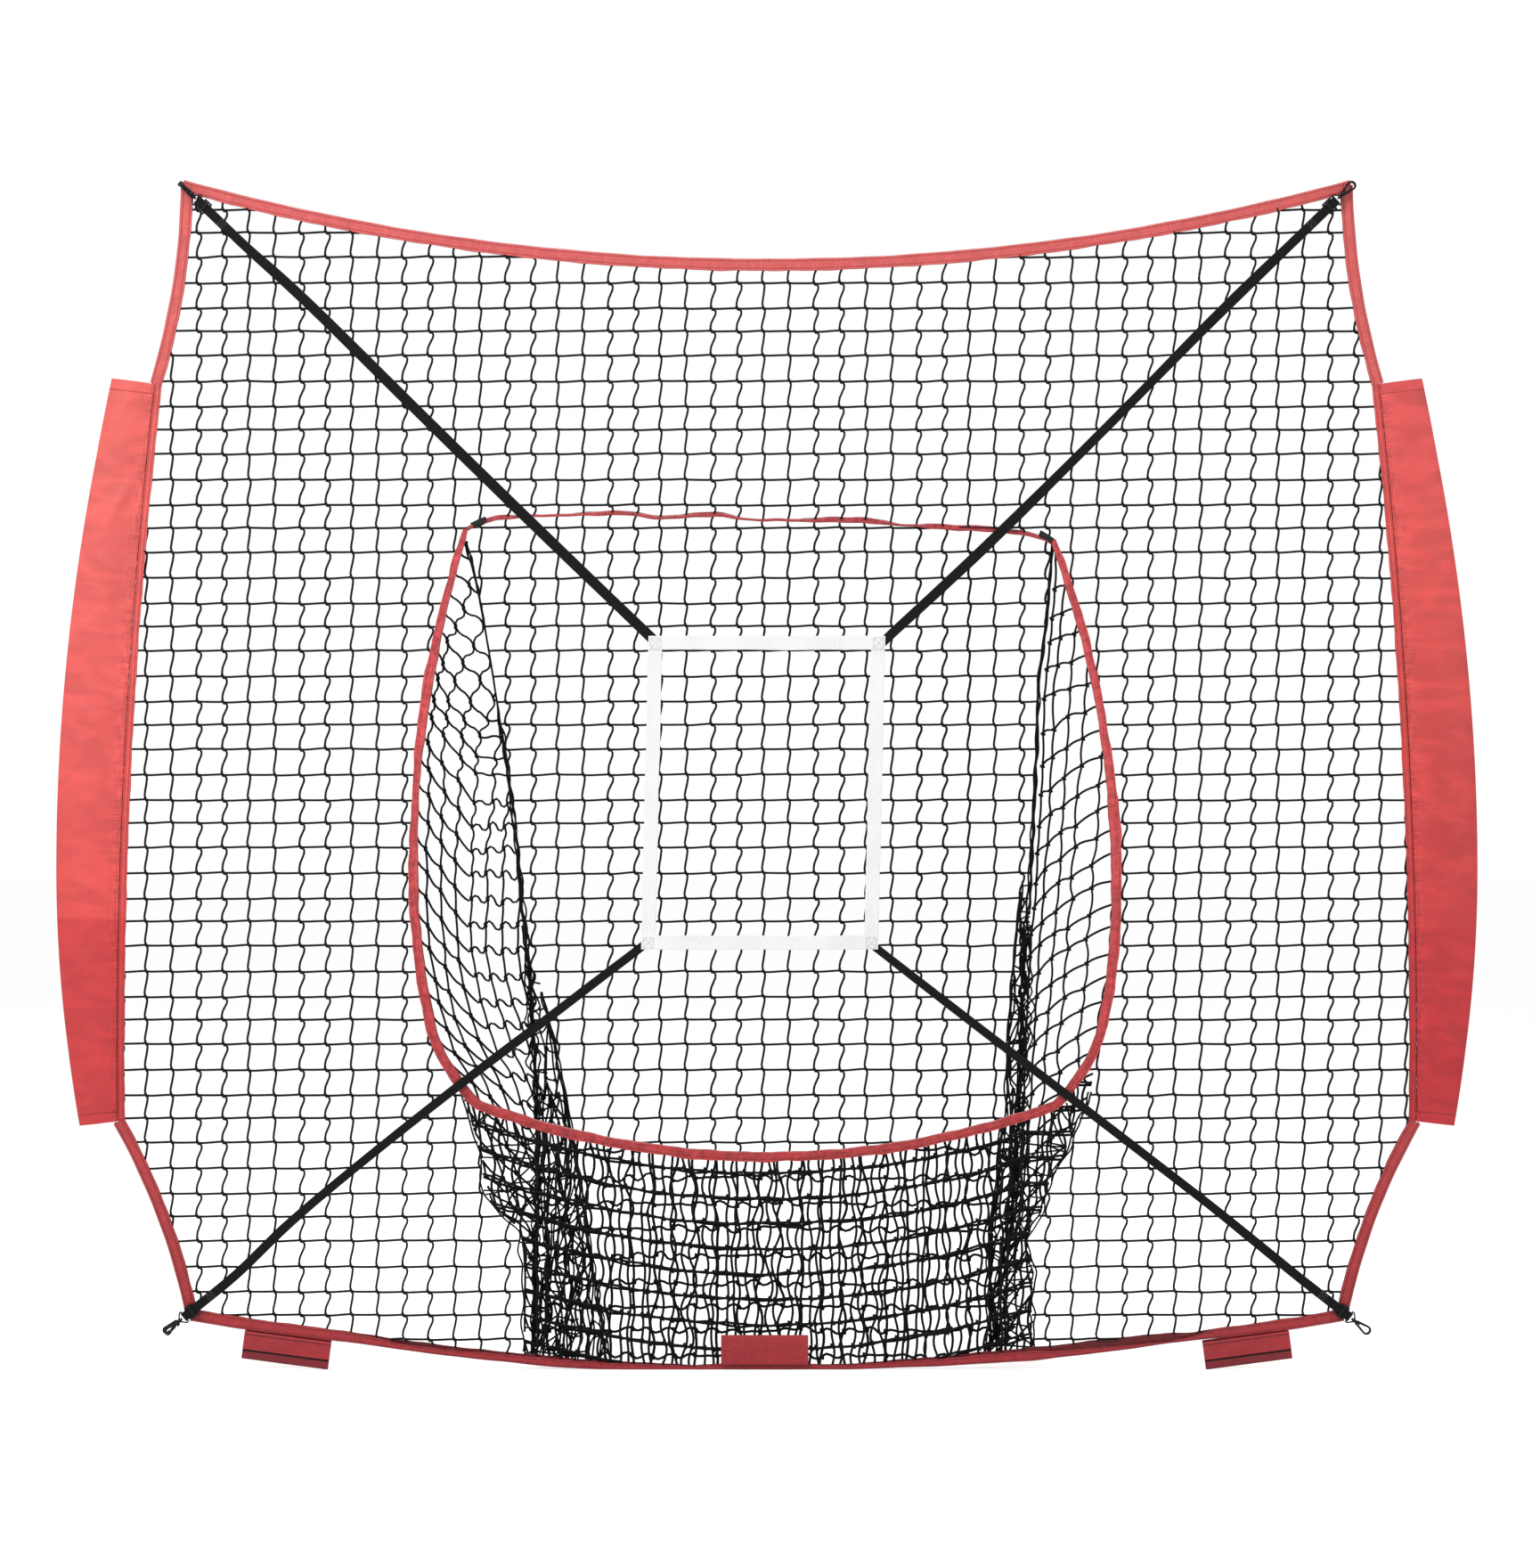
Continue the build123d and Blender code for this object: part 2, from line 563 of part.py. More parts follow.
slider = slider_shape()
eye = eye_shape()
hook = hook_shape()
gate = gate_shape()
pin = gate_pin()
for up, level in ((1, "upper"), (-1, "lower")):
    for across, word in ((-1, "left"), (1, "right")):
        name = level + "_" + word
        cx, cz = target_corner(across, up)
        if up > 0:
            ex = across * (top_corner_x - upper_eye_in)
            ez = top_corner_z - upper_eye_down
        else:
            ex = across * (bottom_corner_x + lower_eye_out)
            ez = bottom_corner_z - lower_eye_down
        length = math.hypot(ex - cx, ez - cz)
        place = Plane(origin=(ex, -hook_plane, ez), x_dir=(ex - cx, 0, ez - cz), z_dir=(0, -1, 0))
        turned = place.location * Rot(hook_turn[name], 0, 0)
        save(place.location * strap_shape(length), name + "_strap")
        save(place.location * slider, name + "_slider")
        save(place.location * eye, name + "_eye")
        save(turned * hook, name + "_hook")
        save(turned * gate, name + "_gate")
        save(turned * pin, name + "_gate_pin")
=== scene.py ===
# %% [markdown]
# # A pitching target net
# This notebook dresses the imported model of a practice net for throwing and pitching.
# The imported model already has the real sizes, the moving parts and the shapes of the metal
# and plastic fittings. Here the netting gets its twine and knots, the red fabric its folds
# and stitches, and each fitting its finish. Everything is in metres, Z is up, the net hangs
# in the plane y = 0, and the pitcher stands at -Y.

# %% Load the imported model
import math

import bpy
import numpy as np
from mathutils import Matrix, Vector


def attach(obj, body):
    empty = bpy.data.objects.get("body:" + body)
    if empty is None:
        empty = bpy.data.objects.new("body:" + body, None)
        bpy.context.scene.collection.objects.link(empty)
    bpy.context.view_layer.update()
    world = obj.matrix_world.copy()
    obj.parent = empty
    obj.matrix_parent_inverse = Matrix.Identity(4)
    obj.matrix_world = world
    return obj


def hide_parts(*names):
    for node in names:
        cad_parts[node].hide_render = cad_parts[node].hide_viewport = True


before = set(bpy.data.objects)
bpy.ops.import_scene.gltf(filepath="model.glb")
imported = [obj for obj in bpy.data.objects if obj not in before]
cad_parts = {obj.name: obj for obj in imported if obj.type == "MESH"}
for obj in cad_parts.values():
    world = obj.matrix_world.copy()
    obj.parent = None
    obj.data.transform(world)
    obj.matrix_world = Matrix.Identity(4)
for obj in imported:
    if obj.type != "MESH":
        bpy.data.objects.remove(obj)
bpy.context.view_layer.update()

# %% [markdown]
# ## The stage
# The net is shown as in a shop picture: straight on, on white. A long lens from ten metres
# keeps the netting of the pocket, which hangs behind the front net, in line with it.
# The floor is one pale sheet of paper under a white sky. Both are lifted to white only as
# the eye and the metal see them, so that the lamps stay soft and the floor keeps a shadow.

# %% Small tools: colours, nodes and selections


def linear(code):
    """An sRGB hex colour such as "#C03A40" as the linear RGBA that Blender works in."""
    parts = [int(code[i:i + 2], 16) / 255 for i in (1, 3, 5)]
    return [c / 12.92 if c < 0.04045 else ((c + 0.055) / 1.055) ** 2.4 for c in parts] + [1.0]


def add(tree, kind, sockets=None, links=None, **settings):
    """Adds one shader node with its settings, its sockets' values and its incoming links."""
    made = tree.nodes.new("ShaderNode" + kind)
    for key, value in settings.items():
        setattr(made, key, value)
    for key, value in (sockets or {}).items():
        made.inputs[key].default_value = value
    for key, source in (links or {}).items():
        tree.links.new(source, made.inputs[key])
    return made


def deselect():
    """Leaves edit mode and selects nothing, before anything new is added."""
    if bpy.context.object and bpy.context.object.mode != "OBJECT":
        bpy.ops.object.mode_set(mode="OBJECT")
    bpy.ops.object.select_all(action="DESELECT")


def pick(piece):
    """Makes one piece the only selected and the active one."""
    deselect()
    piece.select_set(True)
    bpy.context.view_layer.objects.active = piece


# %% The floor, a sheet of seamless paper
paper_lift = 0.55             # how much the paper glows, to the eye and to the metal only


def seen_rays(tree):
    """1 for the rays by which the eye and the metal see, 0 for those that carry light."""
    ray = add(tree, "LightPath")
    return add(tree, "Math", links={0: ray.outputs["Is Camera Ray"],
                                    1: ray.outputs["Is Glossy Ray"]}, operation="MAXIMUM").outputs[0]


def paper_material():
    """Matte seamless paper: pale grey in the lamps' light, lifted to white for the eye."""
    paper = bpy.data.materials.new("seamless_paper_matte")
    paper.use_nodes = True
    tree = paper.node_tree
    tree.nodes.clear()
    matte = add(tree, "BsdfDiffuse", {"Color": linear("#E6E6E6")})
    lift = add(tree, "Math", {1: paper_lift}, {0: seen_rays(tree)}, operation="MULTIPLY")
    glow = add(tree, "Emission", {"Color": (1, 1, 1, 1)}, {"Strength": lift.outputs[0]})
    both = add(tree, "AddShader", links={0: matte.outputs[0], 1: glow.outputs[0]})
    add(tree, "OutputMaterial", links={"Surface": both.outputs[0]})
    return paper


deselect()
bpy.ops.mesh.primitive_plane_add(size=80, location=(0, 10, 0))
floor = bpy.context.object
floor.name = "floor"
floor.data.materials.append(paper_material())

print("floor", round(floor.dimensions.x), "m wide")

# %% A white sky
sky_fill = 0.55               # how strongly the sky lights the net; it is seen as plain white

world = bpy.data.worlds.new("white_studio")
bpy.context.scene.world = world
world.use_nodes = True
tree = world.node_tree
tree.nodes.clear()
level = add(tree, "MapRange", {"To Min": sky_fill, "To Max": 1.0}, {"Value": seen_rays(tree)})
sky = add(tree, "Background", {"Color": (1, 1, 1, 1)}, {"Strength": level.outputs[0]})
add(tree, "OutputWorld", links={"Surface": sky.outputs[0]})
print("sky", world.name, "lights at", sky_fill)

# %% Lamps and camera
eye_distance = 10.0
view_height = 2.8248          # what the camera sees from top to bottom, at the net
view_middle = (-0.0016, 1.0545)
sensor_wide = 36              # the camera's own, in millimetres


def lamp(name, place, aim, size, power):
    """A square softbox that looks at a point."""
    deselect()
    bpy.ops.object.light_add(type="AREA", location=place)
    light = bpy.context.object
    light.name = name
    light.data.size = size
    light.data.energy = power
    light.rotation_euler = (Vector(aim) - Vector(place)).to_track_quat("-Z", "Y").to_euler()


lamp("softbox_key", (-3.4, -4.6, 5.0), (-0.2, 0, 1.6), 2.5, 260)
lamp("softbox_fill", (4.5, -5.5, 2.2), (0, 0, 1.0), 3.5, 70)
lamp("softbox_back", (0.5, 4.5, 4.5), (0, 0, 1.0), 3.5, 90)

deselect()
bpy.ops.object.camera_add(location=(view_middle[0], -eye_distance, view_middle[1]),
                          rotation=(math.radians(90), 0, 0))
camera = bpy.context.object
camera.data.sensor_width = sensor_wide
camera.data.lens = sensor_wide * eye_distance / view_height
camera.data.clip_end = 200
bpy.context.scene.camera = camera
bpy.context.scene.view_settings.view_transform = "Standard"
print("lens", round(camera.data.lens, 1), "mm")

# %% [markdown]
# ## The finishes
# Each material starts from what the real thing is and how it was made.
# Patterns on cloth follow the cloth through the piece's own UV map, which is in metres, so
# that a thread keeps its spacing round every fold. Twine and metal read object coordinates.

# %% Knotted twine


def new_material(name):
    """A named material, its node tree and its principled shader."""
    finish = bpy.data.materials.new(name)
    finish.use_nodes = True
    return finish, finish.node_tree, finish.node_tree.nodes["Principled BSDF"]


def set_stops(ramp, stops):
    """Gives a colour ramp its stops: where each one is, from 0 to 1, and its hex colour."""
    marks = ramp.color_ramp.elements
    while len(marks) < len(stops):
        marks.new(0.5)
    for mark, (spot, shade) in zip(marks, stops):
        mark.position = spot
        mark.color = linear(shade)


def twine_material(name, clean, dusty):
    """Braided polyester twine, dyed and knotted: dull, grainy from its strands, with
    stretches that have picked up dust."""
    finish, tree, shader = new_material(name)
    place = add(tree, "TexCoord").outputs["Object"]
    # strands cross every 1.2 mm; drawn at 2 mm, the finest that shows
    strands = add(tree, "TexNoise", {"Scale": 500.0, "Detail": 1.0}, {"Vector": place})
    dust = add(tree, "TexNoise", {"Scale": 11.0, "Detail": 3.0}, {"Vector": place})
    tone = add(tree, "ValToRGB", links={"Fac": dust.outputs["Fac"]})
    set_stops(tone, [(0.35, clean), (0.7, dusty)])
    weave = add(tree, "MapRange", {"To Min": 0.7, "To Max": 1.25}, {"Value": strands.outputs["Fac"]})
    shaded = add(tree, "VectorMath", links={0: tone.outputs["Color"], 1: weave.outputs[0]},
                 operation="MULTIPLY")
    bump = add(tree, "Bump", {"Strength": 0.7, "Distance": 0.0005}, {"Height": strands.outputs["Fac"]})
    tree.links.new(shaded.outputs[0], shader.inputs["Base Color"])
    tree.links.new(bump.outputs["Normal"], shader.inputs["Normal"])
    shader.inputs["Roughness"].default_value = 0.85
    shader.inputs["Specular IOR Level"].default_value = 0.15     # loose fibres barely shine
    return finish


twine_grey = twine_material("braided_twine_weathered", "#111112", "#1D1D1E")
twine_black = twine_material("braided_twine_black", "#08090B", "#121316")
print("twine:", twine_grey.name, "and", twine_black.name)

# %% [markdown]
# ## Coated red fabric
# The edge, the sleeves and the loops are coated polyester, as on tents and flags: a fine
# plain weave under a thin coating, so it is smooth, a little silky, and takes soft creases
# that catch the light. Its colour is painted lighter towards the top, as painted light, and
# the shade and highlights of its creases and puckers are painted into it too.

# %% A plain weave


def woven(tree, pitch):
    """A plain weave from the UV map, one thread over and one under. Returns its height and
    the map's coordinates."""
    place = add(tree, "UVMap").outputs["UV"]
    turn = 2 * math.pi / pitch
    grid = add(tree, "VectorMath", {1: (turn / 2, turn / 2, 0)}, {0: place}, operation="MULTIPLY")
    axes = add(tree, "SeparateXYZ", links={0: grid.outputs[0]})
    warp = add(tree, "Math", links={0: axes.outputs[0]}, operation="SINE")
    weft = add(tree, "Math", links={0: axes.outputs[1]}, operation="SINE")
    cross = add(tree, "Math", links={0: warp.outputs[0], 1: weft.outputs[0]}, operation="MULTIPLY")
    return cross.outputs[0], place

# %% Coated fabric
painted_light_top = 2.2                # the height that the cloths' colours run up to
all_over = 1000.0             # a reach so long that the gathering shows everywhere


def coated_fabric(name, shades, puckers, folds=0.0, reach=all_over):
    """Coated cloth. shades are its colours at heights in metres; how they change with height is
    painted light. puckers is how strongly its gathering shows, up to reach metres from its seam,
    as relief and as painted shade and highlight, and folds how strongly its creases do, as
    painted shade and highlight."""
    finish, tree, shader = new_material(name)
    # threads lie 0.45 mm apart; drawn at 1.6 mm, the finest that shows
    weave, cloth_place = woven(tree, 0.0016)
    place = add(tree, "TexCoord").outputs["Object"]
    # colour by height: the cloth's own reds, with painted light that makes them lighter towards the top
    height = add(tree, "SeparateXYZ", links={0: place}).outputs[2]
    level = add(tree, "MapRange", {"From Min": 0.0, "From Max": painted_light_top}, {"Value": height})
    colour_with_painted_light = add(tree, "ValToRGB", links={"Fac": level.outputs[0]})
    set_stops(colour_with_painted_light, [(spot / painted_light_top, shade) for spot, shade in shades])
    cloud = add(tree, "TexNoise", {"Scale": 9.0, "Detail": 4.0, "Roughness": 0.6}, {"Vector": place})
    mottle = add(tree, "MapRange", {"From Min": 0.3, "From Max": 0.7, "To Min": 0.93, "To Max": 1.07},
                 {"Value": cloud.outputs["Fac"]})
    lines = add(tree, "MapRange", {"From Min": -1.0, "To Min": 0.96, "To Max": 1.04}, {"Value": weave})
    tone = add(tree, "Math", links={0: mottle.outputs[0], 1: lines.outputs[0]}, operation="MULTIPLY")
    # puckers: painted shade and highlights in streaks along the tape, 40 mm long and 4 mm wide,
    # crossed by short ones; the same streaks give the relief below
    run = add(tree, "VectorMath", {1: (25, 250, 0)}, {0: cloth_place}, operation="MULTIPLY")
    streak = add(tree, "TexNoise", {"Scale": 1.0, "Detail": 2.0, "Distortion": 0.6},
                 {"Vector": run.outputs[0]})
    cross = add(tree, "VectorMath", {1: (95, 40, 0)}, {0: cloth_place}, operation="MULTIPLY")
    pinch = add(tree, "TexNoise", {"Scale": 1.0, "Detail": 1.0, "Distortion": 0.4},
                {"Vector": cross.outputs[0]})
    pulled = add(tree, "Math", links={0: streak.outputs["Fac"], 1: pinch.outputs["Fac"]},
                 operation="ADD")
    gathered = add(tree, "MapRange", {"From Min": 0.75, "From Max": 1.25, "To Min": 1 - puckers,
                                      "To Max": 1 + puckers}, {"Value": pulled.outputs[0]})
    # the puckers and their painted shade die out away from the seam, where nothing gathers the cloth
    from_seam = add(tree, "SeparateXYZ", links={0: cloth_place}).outputs[0]
    near_seam = add(tree, "MapRange", {"From Min": reach / 3, "From Max": reach, "To Min": 1.0,
                                       "To Max": 0.0}, {"Value": from_seam})
    held = add(tree, "Mix", {2: 1.0}, {0: near_seam.outputs[0], 3: gathered.outputs[0]})
    tone = add(tree, "Math", links={0: tone.outputs[0], 1: held.outputs[0]}, operation="MULTIPLY")
    # folds: painted shade and highlights of soft slanting creases, 0.1 m long and half as wide
    slant = add(tree, "Mapping", {"Rotation": (0, 0.8, 0), "Scale": (1.0, 1.0, 2.4)}, {"Vector": place})
    painted_crease_shade = add(tree, "TexNoise", {"Scale": 11.0, "Detail": 2.0, "Roughness": 0.4, "Distortion": 1.0},
                 {"Vector": slant.outputs[0]})
    folded = add(tree, "MapRange", {"From Min": 0.34, "From Max": 0.66, "To Min": 1 + 0.5 * folds,
                                    "To Max": 1 - folds}, {"Value": painted_crease_shade.outputs["Fac"]},
                 interpolation_type="SMOOTHSTEP")
    tone = add(tree, "Math", links={0: tone.outputs[0], 1: folded.outputs[0]}, operation="MULTIPLY")
    colour = add(tree, "VectorMath", links={0: colour_with_painted_light.outputs[0], 1: tone.outputs[0]},
                 operation="MULTIPLY")
    # wrinkles 26 mm long, then the puckers, then the threads, each in relief over the last
    wrinkle = add(tree, "TexNoise", {"Scale": 38.0, "Detail": 3.0, "Distortion": 0.8},
                  {"Vector": place})
    relief = add(tree, "Bump", {"Strength": 0.25, "Distance": 0.004},
                 {"Height": wrinkle.outputs["Fac"]})
    swell = add(tree, "Math", links={0: pulled.outputs[0], 1: near_seam.outputs[0]},
                operation="MULTIPLY")
    relief = add(tree, "Bump", {"Strength": min(1.0, 3 * puckers), "Distance": 0.003},
                 {"Height": swell.outputs[0], "Normal": relief.outputs[0]})
    threads = add(tree, "Bump", {"Strength": 0.35, "Distance": 0.0002},
                  {"Height": weave, "Normal": relief.outputs[0]})
    tree.links.new(colour.outputs[0], shader.inputs["Base Color"])
    tree.links.new(threads.outputs[0], shader.inputs["Normal"])
    rough = add(tree, "MapRange", {"To Min": 0.38, "To Max": 0.6}, {"Value": cloud.outputs["Fac"]})
    tree.links.new(rough.outputs[0], shader.inputs["Roughness"])
    shader.inputs["Specular IOR Level"].default_value = 0.35
    shader.inputs["Sheen Weight"].default_value = 0.06
    return finish

# %% [markdown]
# ## Webbing and thread
# The straps and the target are flat webbing, woven from thick yarns that stand up as ribs.
# Thread and cloth tape are the same weave seen from further away, so one finish with other
# colours serves for all. The ribs could be modelled, but they are under half a millimetre
# high, so here they are relief and a change of tone.

# %% Webbing and thread


def webbing(name, light, shade, rough):
    """Woven webbing: ribs of yarn run along it every 1.5 mm, crossed by the weft."""
    finish, tree, shader = new_material(name)
    weave = woven(tree, 0.0030)[0]
    mix = add(tree, "MapRange", {"From Min": -1.0}, {"Value": weave})
    tone = add(tree, "ValToRGB", links={"Fac": mix.outputs[0]})
    set_stops(tone, [(0.0, shade), (0.8, light)])
    place = add(tree, "TexCoord").outputs["Object"]
    wear = add(tree, "TexNoise", {"Scale": 16.0, "Detail": 3.0}, {"Vector": place})
    worn = add(tree, "MapRange", {"To Min": 0.9, "To Max": 1.1}, {"Value": wear.outputs["Fac"]})
    colour = add(tree, "VectorMath", links={0: tone.outputs[0], 1: worn.outputs[0]},
                 operation="MULTIPLY")
    bump = add(tree, "Bump", {"Strength": 0.6, "Distance": 0.0004}, {"Height": mix.outputs[0]})
    tree.links.new(colour.outputs[0], shader.inputs["Base Color"])
    tree.links.new(bump.outputs[0], shader.inputs["Normal"])
    shader.inputs["Roughness"].default_value = rough
    shader.inputs["Specular IOR Level"].default_value = 0.2
    return finish

# %% The net's cloths, webbing and threads
# each red is given from the ground up; how it changes with height is painted light, mostly lighter towards
# the top
red_fabric = coated_fabric("coated_polyester_red", [
    (0.0, "#9D272E"), (0.33, "#AF3A3D"), (1.1, "#C44C4B"), (1.87, "#CE5C5A"), (2.13, "#CE5958")], 0.10)
red_gathered = coated_fabric("coated_polyester_red_gathered", [
    (0.0, "#9C2630"), (0.38, "#AC3538"), (1.1, "#C64A4B"), (1.6, "#BE4348")], 0.30)
red_rolled = coated_fabric("coated_polyester_red_rolled", [(1.4, "#A4343A"), (1.6, "#AC3B3F")], 0.35)
# the tapes' inside: the cloth's uncoated back, painted much darker as the shade inside the fold
red_inside_painted_shade = coated_fabric("uncoated_polyester_red_inside_painted_shade", [(0.0, "#62090F"), (2.0, "#7A1820")], 0.2)
# each sleeve is painted lighter towards the top, as painted light, and steps darker below
# about 0.8 m; the right sleeve is painted darker than the left, as painted shade
red_sleeve = {
    -1: coated_fabric("coated_polyester_red_sleeve_left", [
        (0.52, "#C5383A"), (0.81, "#CA3C3E"), (0.815, "#D64A48"), (1.02, "#DA524F"), (1.50, "#E05E5A"),
        (1.72, "#DD5F59")], 0.25, 0.11, 0.04),
    1: coated_fabric("coated_polyester_red_sleeve_right", [
        (0.50, "#BA2B31"), (0.79, "#C43438"), (0.80, "#C83A3C"), (0.98, "#CC403F"), (1.50, "#DE534F"),
        (1.72, "#DA5250")], 0.25, 0.13, 0.04)}
# the outer loops' cloth, painted darker below 45 mm up as the shade under their flaps
red_shaded = coated_fabric("coated_polyester_red_loop_painted_shade", [
    (0.0, "#7A1D26"), (0.045, "#7A1D26"), (0.060, "#9D2A31")], 0.10)
# dark red thread, painted darker still as the shadow along the seams it sews, and lighter higher up as
# painted light
red_thread_painted_shade = coated_fabric("polyester_thread_red_painted_shade", [
    (0.0, "#5A1018"), (0.3, "#7A2026"), (0.6, "#A8363A"), (1.6, "#B44648")], 0.05)
white_webbing = webbing("polyester_webbing_white", "#F4F4F4", "#E2E2E2", 0.7)
black_webbing = webbing("polypropylene_webbing_black", "#131314", "#08080A", 0.7)
black_webbing.node_tree.nodes["Principled BSDF"].inputs["Specular IOR Level"].default_value = 0.12
white_thread = webbing("polyester_thread_white", "#EDEDED", "#D9D9D9", 0.7)
black_thread = webbing("polyester_thread_black", "#343537", "#1B1C1E", 0.6)
black_tape = webbing("cloth_tape_black", "#26282B", "#131416", 0.7)
hook_tape = twine_material("hook_and_loop_tape_black", "#101012", "#1D1D20")
print("finishes so far:", len(bpy.data.materials))

# %% [markdown]
# ## Plastic and metal
# The sliders are moulded plastic, the hooks and eyes die-cast zinc with a powder coat, and
# the gates turn on steel pins. All three are hard and smooth, with a fine grain from the
# mould, the powder or the drawing die, and are paler where they are rubbed. So one
# function makes all three, from a grain size, a roughness and two shades.

# %% Moulded plastic, coated metal and bare steel


def hard_finish(name, shade, worn_shade, rough, metallic, grit, grain_depth):
    """A moulded or coated hard surface: fine grit in its roughness, paler where it is rubbed."""
    finish, tree, shader = new_material(name)
    place = add(tree, "TexCoord").outputs["Object"]
    grains = add(tree, "TexNoise", {"Scale": grit, "Detail": 2.0}, {"Vector": place})
    rubbed = add(tree, "TexNoise", {"Scale": 140.0, "Detail": 4.0, "Roughness": 0.65},
                 {"Vector": place})
    tone = add(tree, "ValToRGB", links={"Fac": rubbed.outputs["Fac"]})
    set_stops(tone, [(0.45, shade), (0.72, worn_shade)])
    gloss = add(tree, "MapRange", {"To Min": rough - 0.1, "To Max": rough + 0.14},
                {"Value": grains.outputs["Fac"]})
    bump = add(tree, "Bump", {"Strength": 0.3, "Distance": grain_depth},
               {"Height": grains.outputs["Fac"]})
    tree.links.new(tone.outputs[0], shader.inputs["Base Color"])
    tree.links.new(gloss.outputs[0], shader.inputs["Roughness"])
    tree.links.new(bump.outputs[0], shader.inputs["Normal"])
    shader.inputs["Metallic"].default_value = metallic
    return finish


# acetal slider, injection moulded in a spark-eroded mould: satin, 0.6 mm grain
slider_plastic = hard_finish("acetal_moulded_black", "#0C0C0E", "#1A1B1D", 0.5, 0.0, 1600.0, 0.0001)
# zinc hook and eye, die cast and black powder coated: orange-peel 0.8 mm, rubbed paler in patches here and
# there
coated_zinc = hard_finish("zinc_powder_coated_black", "#0A0A0B", "#141416", 0.45, 0.0, 1200.0, 0.00012)
for coated in (slider_plastic, coated_zinc):
    coated.node_tree.nodes["Principled BSDF"].inputs["Specular IOR Level"].default_value = 0.18
# drawn steel pin with turned ends
pin_steel = hard_finish("drawn_steel_pin", "#8D9094", "#B5B8BB", 0.3, 1.0, 2500.0, 0.00005)
print("hard finishes:", slider_plastic.name, coated_zinc.name, pin_steel.name)

# %% [markdown]
# ## The pattern of the net
# The outline is drawn as its maker would: sagging arcs between the corners, the bowed
# sides, and the mouth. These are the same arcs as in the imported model, and every hem,
# stitch and twine below is laid out along them.

# %% Arcs


def arc(a, b, c, step=0.006):
    """Points along the circle through three points, from a to c by way of b."""
    a, b, c = (np.array(p, float) for p in (a, b, c))
    m = 2 * np.array([b - a, c - a])
    centre = np.linalg.solve(m, np.array([b @ b - a @ a, c @ c - a @ a]))
    angles = [math.atan2(*(p - centre)[::-1]) for p in (a, b, c)]
    for i in (1, 2):
        while angles[i] - angles[i - 1] > math.pi:
            angles[i] -= 2 * math.pi
        while angles[i] - angles[i - 1] < -math.pi:
            angles[i] += 2 * math.pi
    radius = np.linalg.norm(a - centre)
    count = max(3, int(abs(angles[2] - angles[0]) * radius / step) + 1)
    turn = np.linspace(angles[0], angles[2], count)
    return centre + radius * np.c_[np.cos(turn), np.sin(turn)]

# %% The outline, and the lower edge as it has rolled up
top_corner, shoulder = (1.045, 2.130), (1.101, 1.775)
hip, foot_corner = (1.168, 0.447), (1.038, 0.106)
top_edge = arc((-top_corner[0], top_corner[1]), (0, 1.990), top_corner)
bottom_edge = arc((-foot_corner[0], foot_corner[1]), (0, 0.011), foot_corner)
# the lower edge has sagged, and is narrower where it has rolled up and its front has slipped
# down: how far along, how much it sags, its width, and how much of its inside shows
edge_width = 0.022
rolled = np.array([
    (-1.05, 0.008, 0.022, 0), (-0.95, 0.0064, 0.0215, 0), (-0.76, 0.0016, 0.020, 0),
    (-0.70, 0.002, 0.019, 0.2), (-0.66, 0.0032, 0.0185, 0.4), (-0.56, 0.0048, 0.018, 0.35),
    (-0.467, 0.0064, 0.018, 0.2), (-0.38, 0.009, 0.019, 0.2), (-0.29, 0.008, 0.016, 0.2),
    (-0.226, 0.0064, 0.0145, 0.2), (-0.13, 0.0032, 0.0096, 0.1), (-0.085, 0.001, 0.0104, 0),
    (0.08, 0.001, 0.0104, 0), (0.143, 0.0025, 0.0096, 0.1), (0.239, 0.0016, 0.0145, 0.2),
    (0.335, 0.0032, 0.0177, 0.2), (0.384, 0.0032, 0.021, 0.2), (0.48, 0.0048, 0.0245, 0.25),
    (0.53, 0.0032, 0.023, 0.45), (0.624, 0.0016, 0.024, 0.6), (0.673, 0, 0.021, 0.65),
    (0.721, -0.0016, 0.0177, 0.8), (0.769, 0, 0.0145, 0.45), (0.81, 0.0016, 0.018, 0),
    (0.961, 0.008, 0.0215, 0), (1.05, 0.008, 0.022, 0)])
sag, hem_width, slip = (np.interp(bottom_edge[:, 0], rolled[:, 0], rolled[:, k]) for k in (1, 2, 3))
bottom_edge[:, 1] += (hem_width - edge_width) / 2 - sag
upper_side = arc(top_corner, (1.059, 1.962), shoulder)
sleeve_side = arc(shoulder, (1.158, 1.054), hip)
lower_side = arc(hip, (1.092, 0.286), foot_corner)
right_side = np.vstack([upper_side, sleeve_side[1:], lower_side[1:]])
mirrored = np.array([-1.0, 1.0])
# the netting ends inside the hem, and where the hem's inside shows, at its upper edge
net_end = bottom_edge.copy()
net_end[:, 1] += np.clip(slip * 5, 0, 1) * (hem_width / 2 - 0.002)
outline = np.vstack([top_edge, right_side[1:], net_end[::-1][1:],
                     (right_side * mirrored)[::-1][1:-1]])
print("edge", len(outline), "points")

# %% Smooth lines through a few points


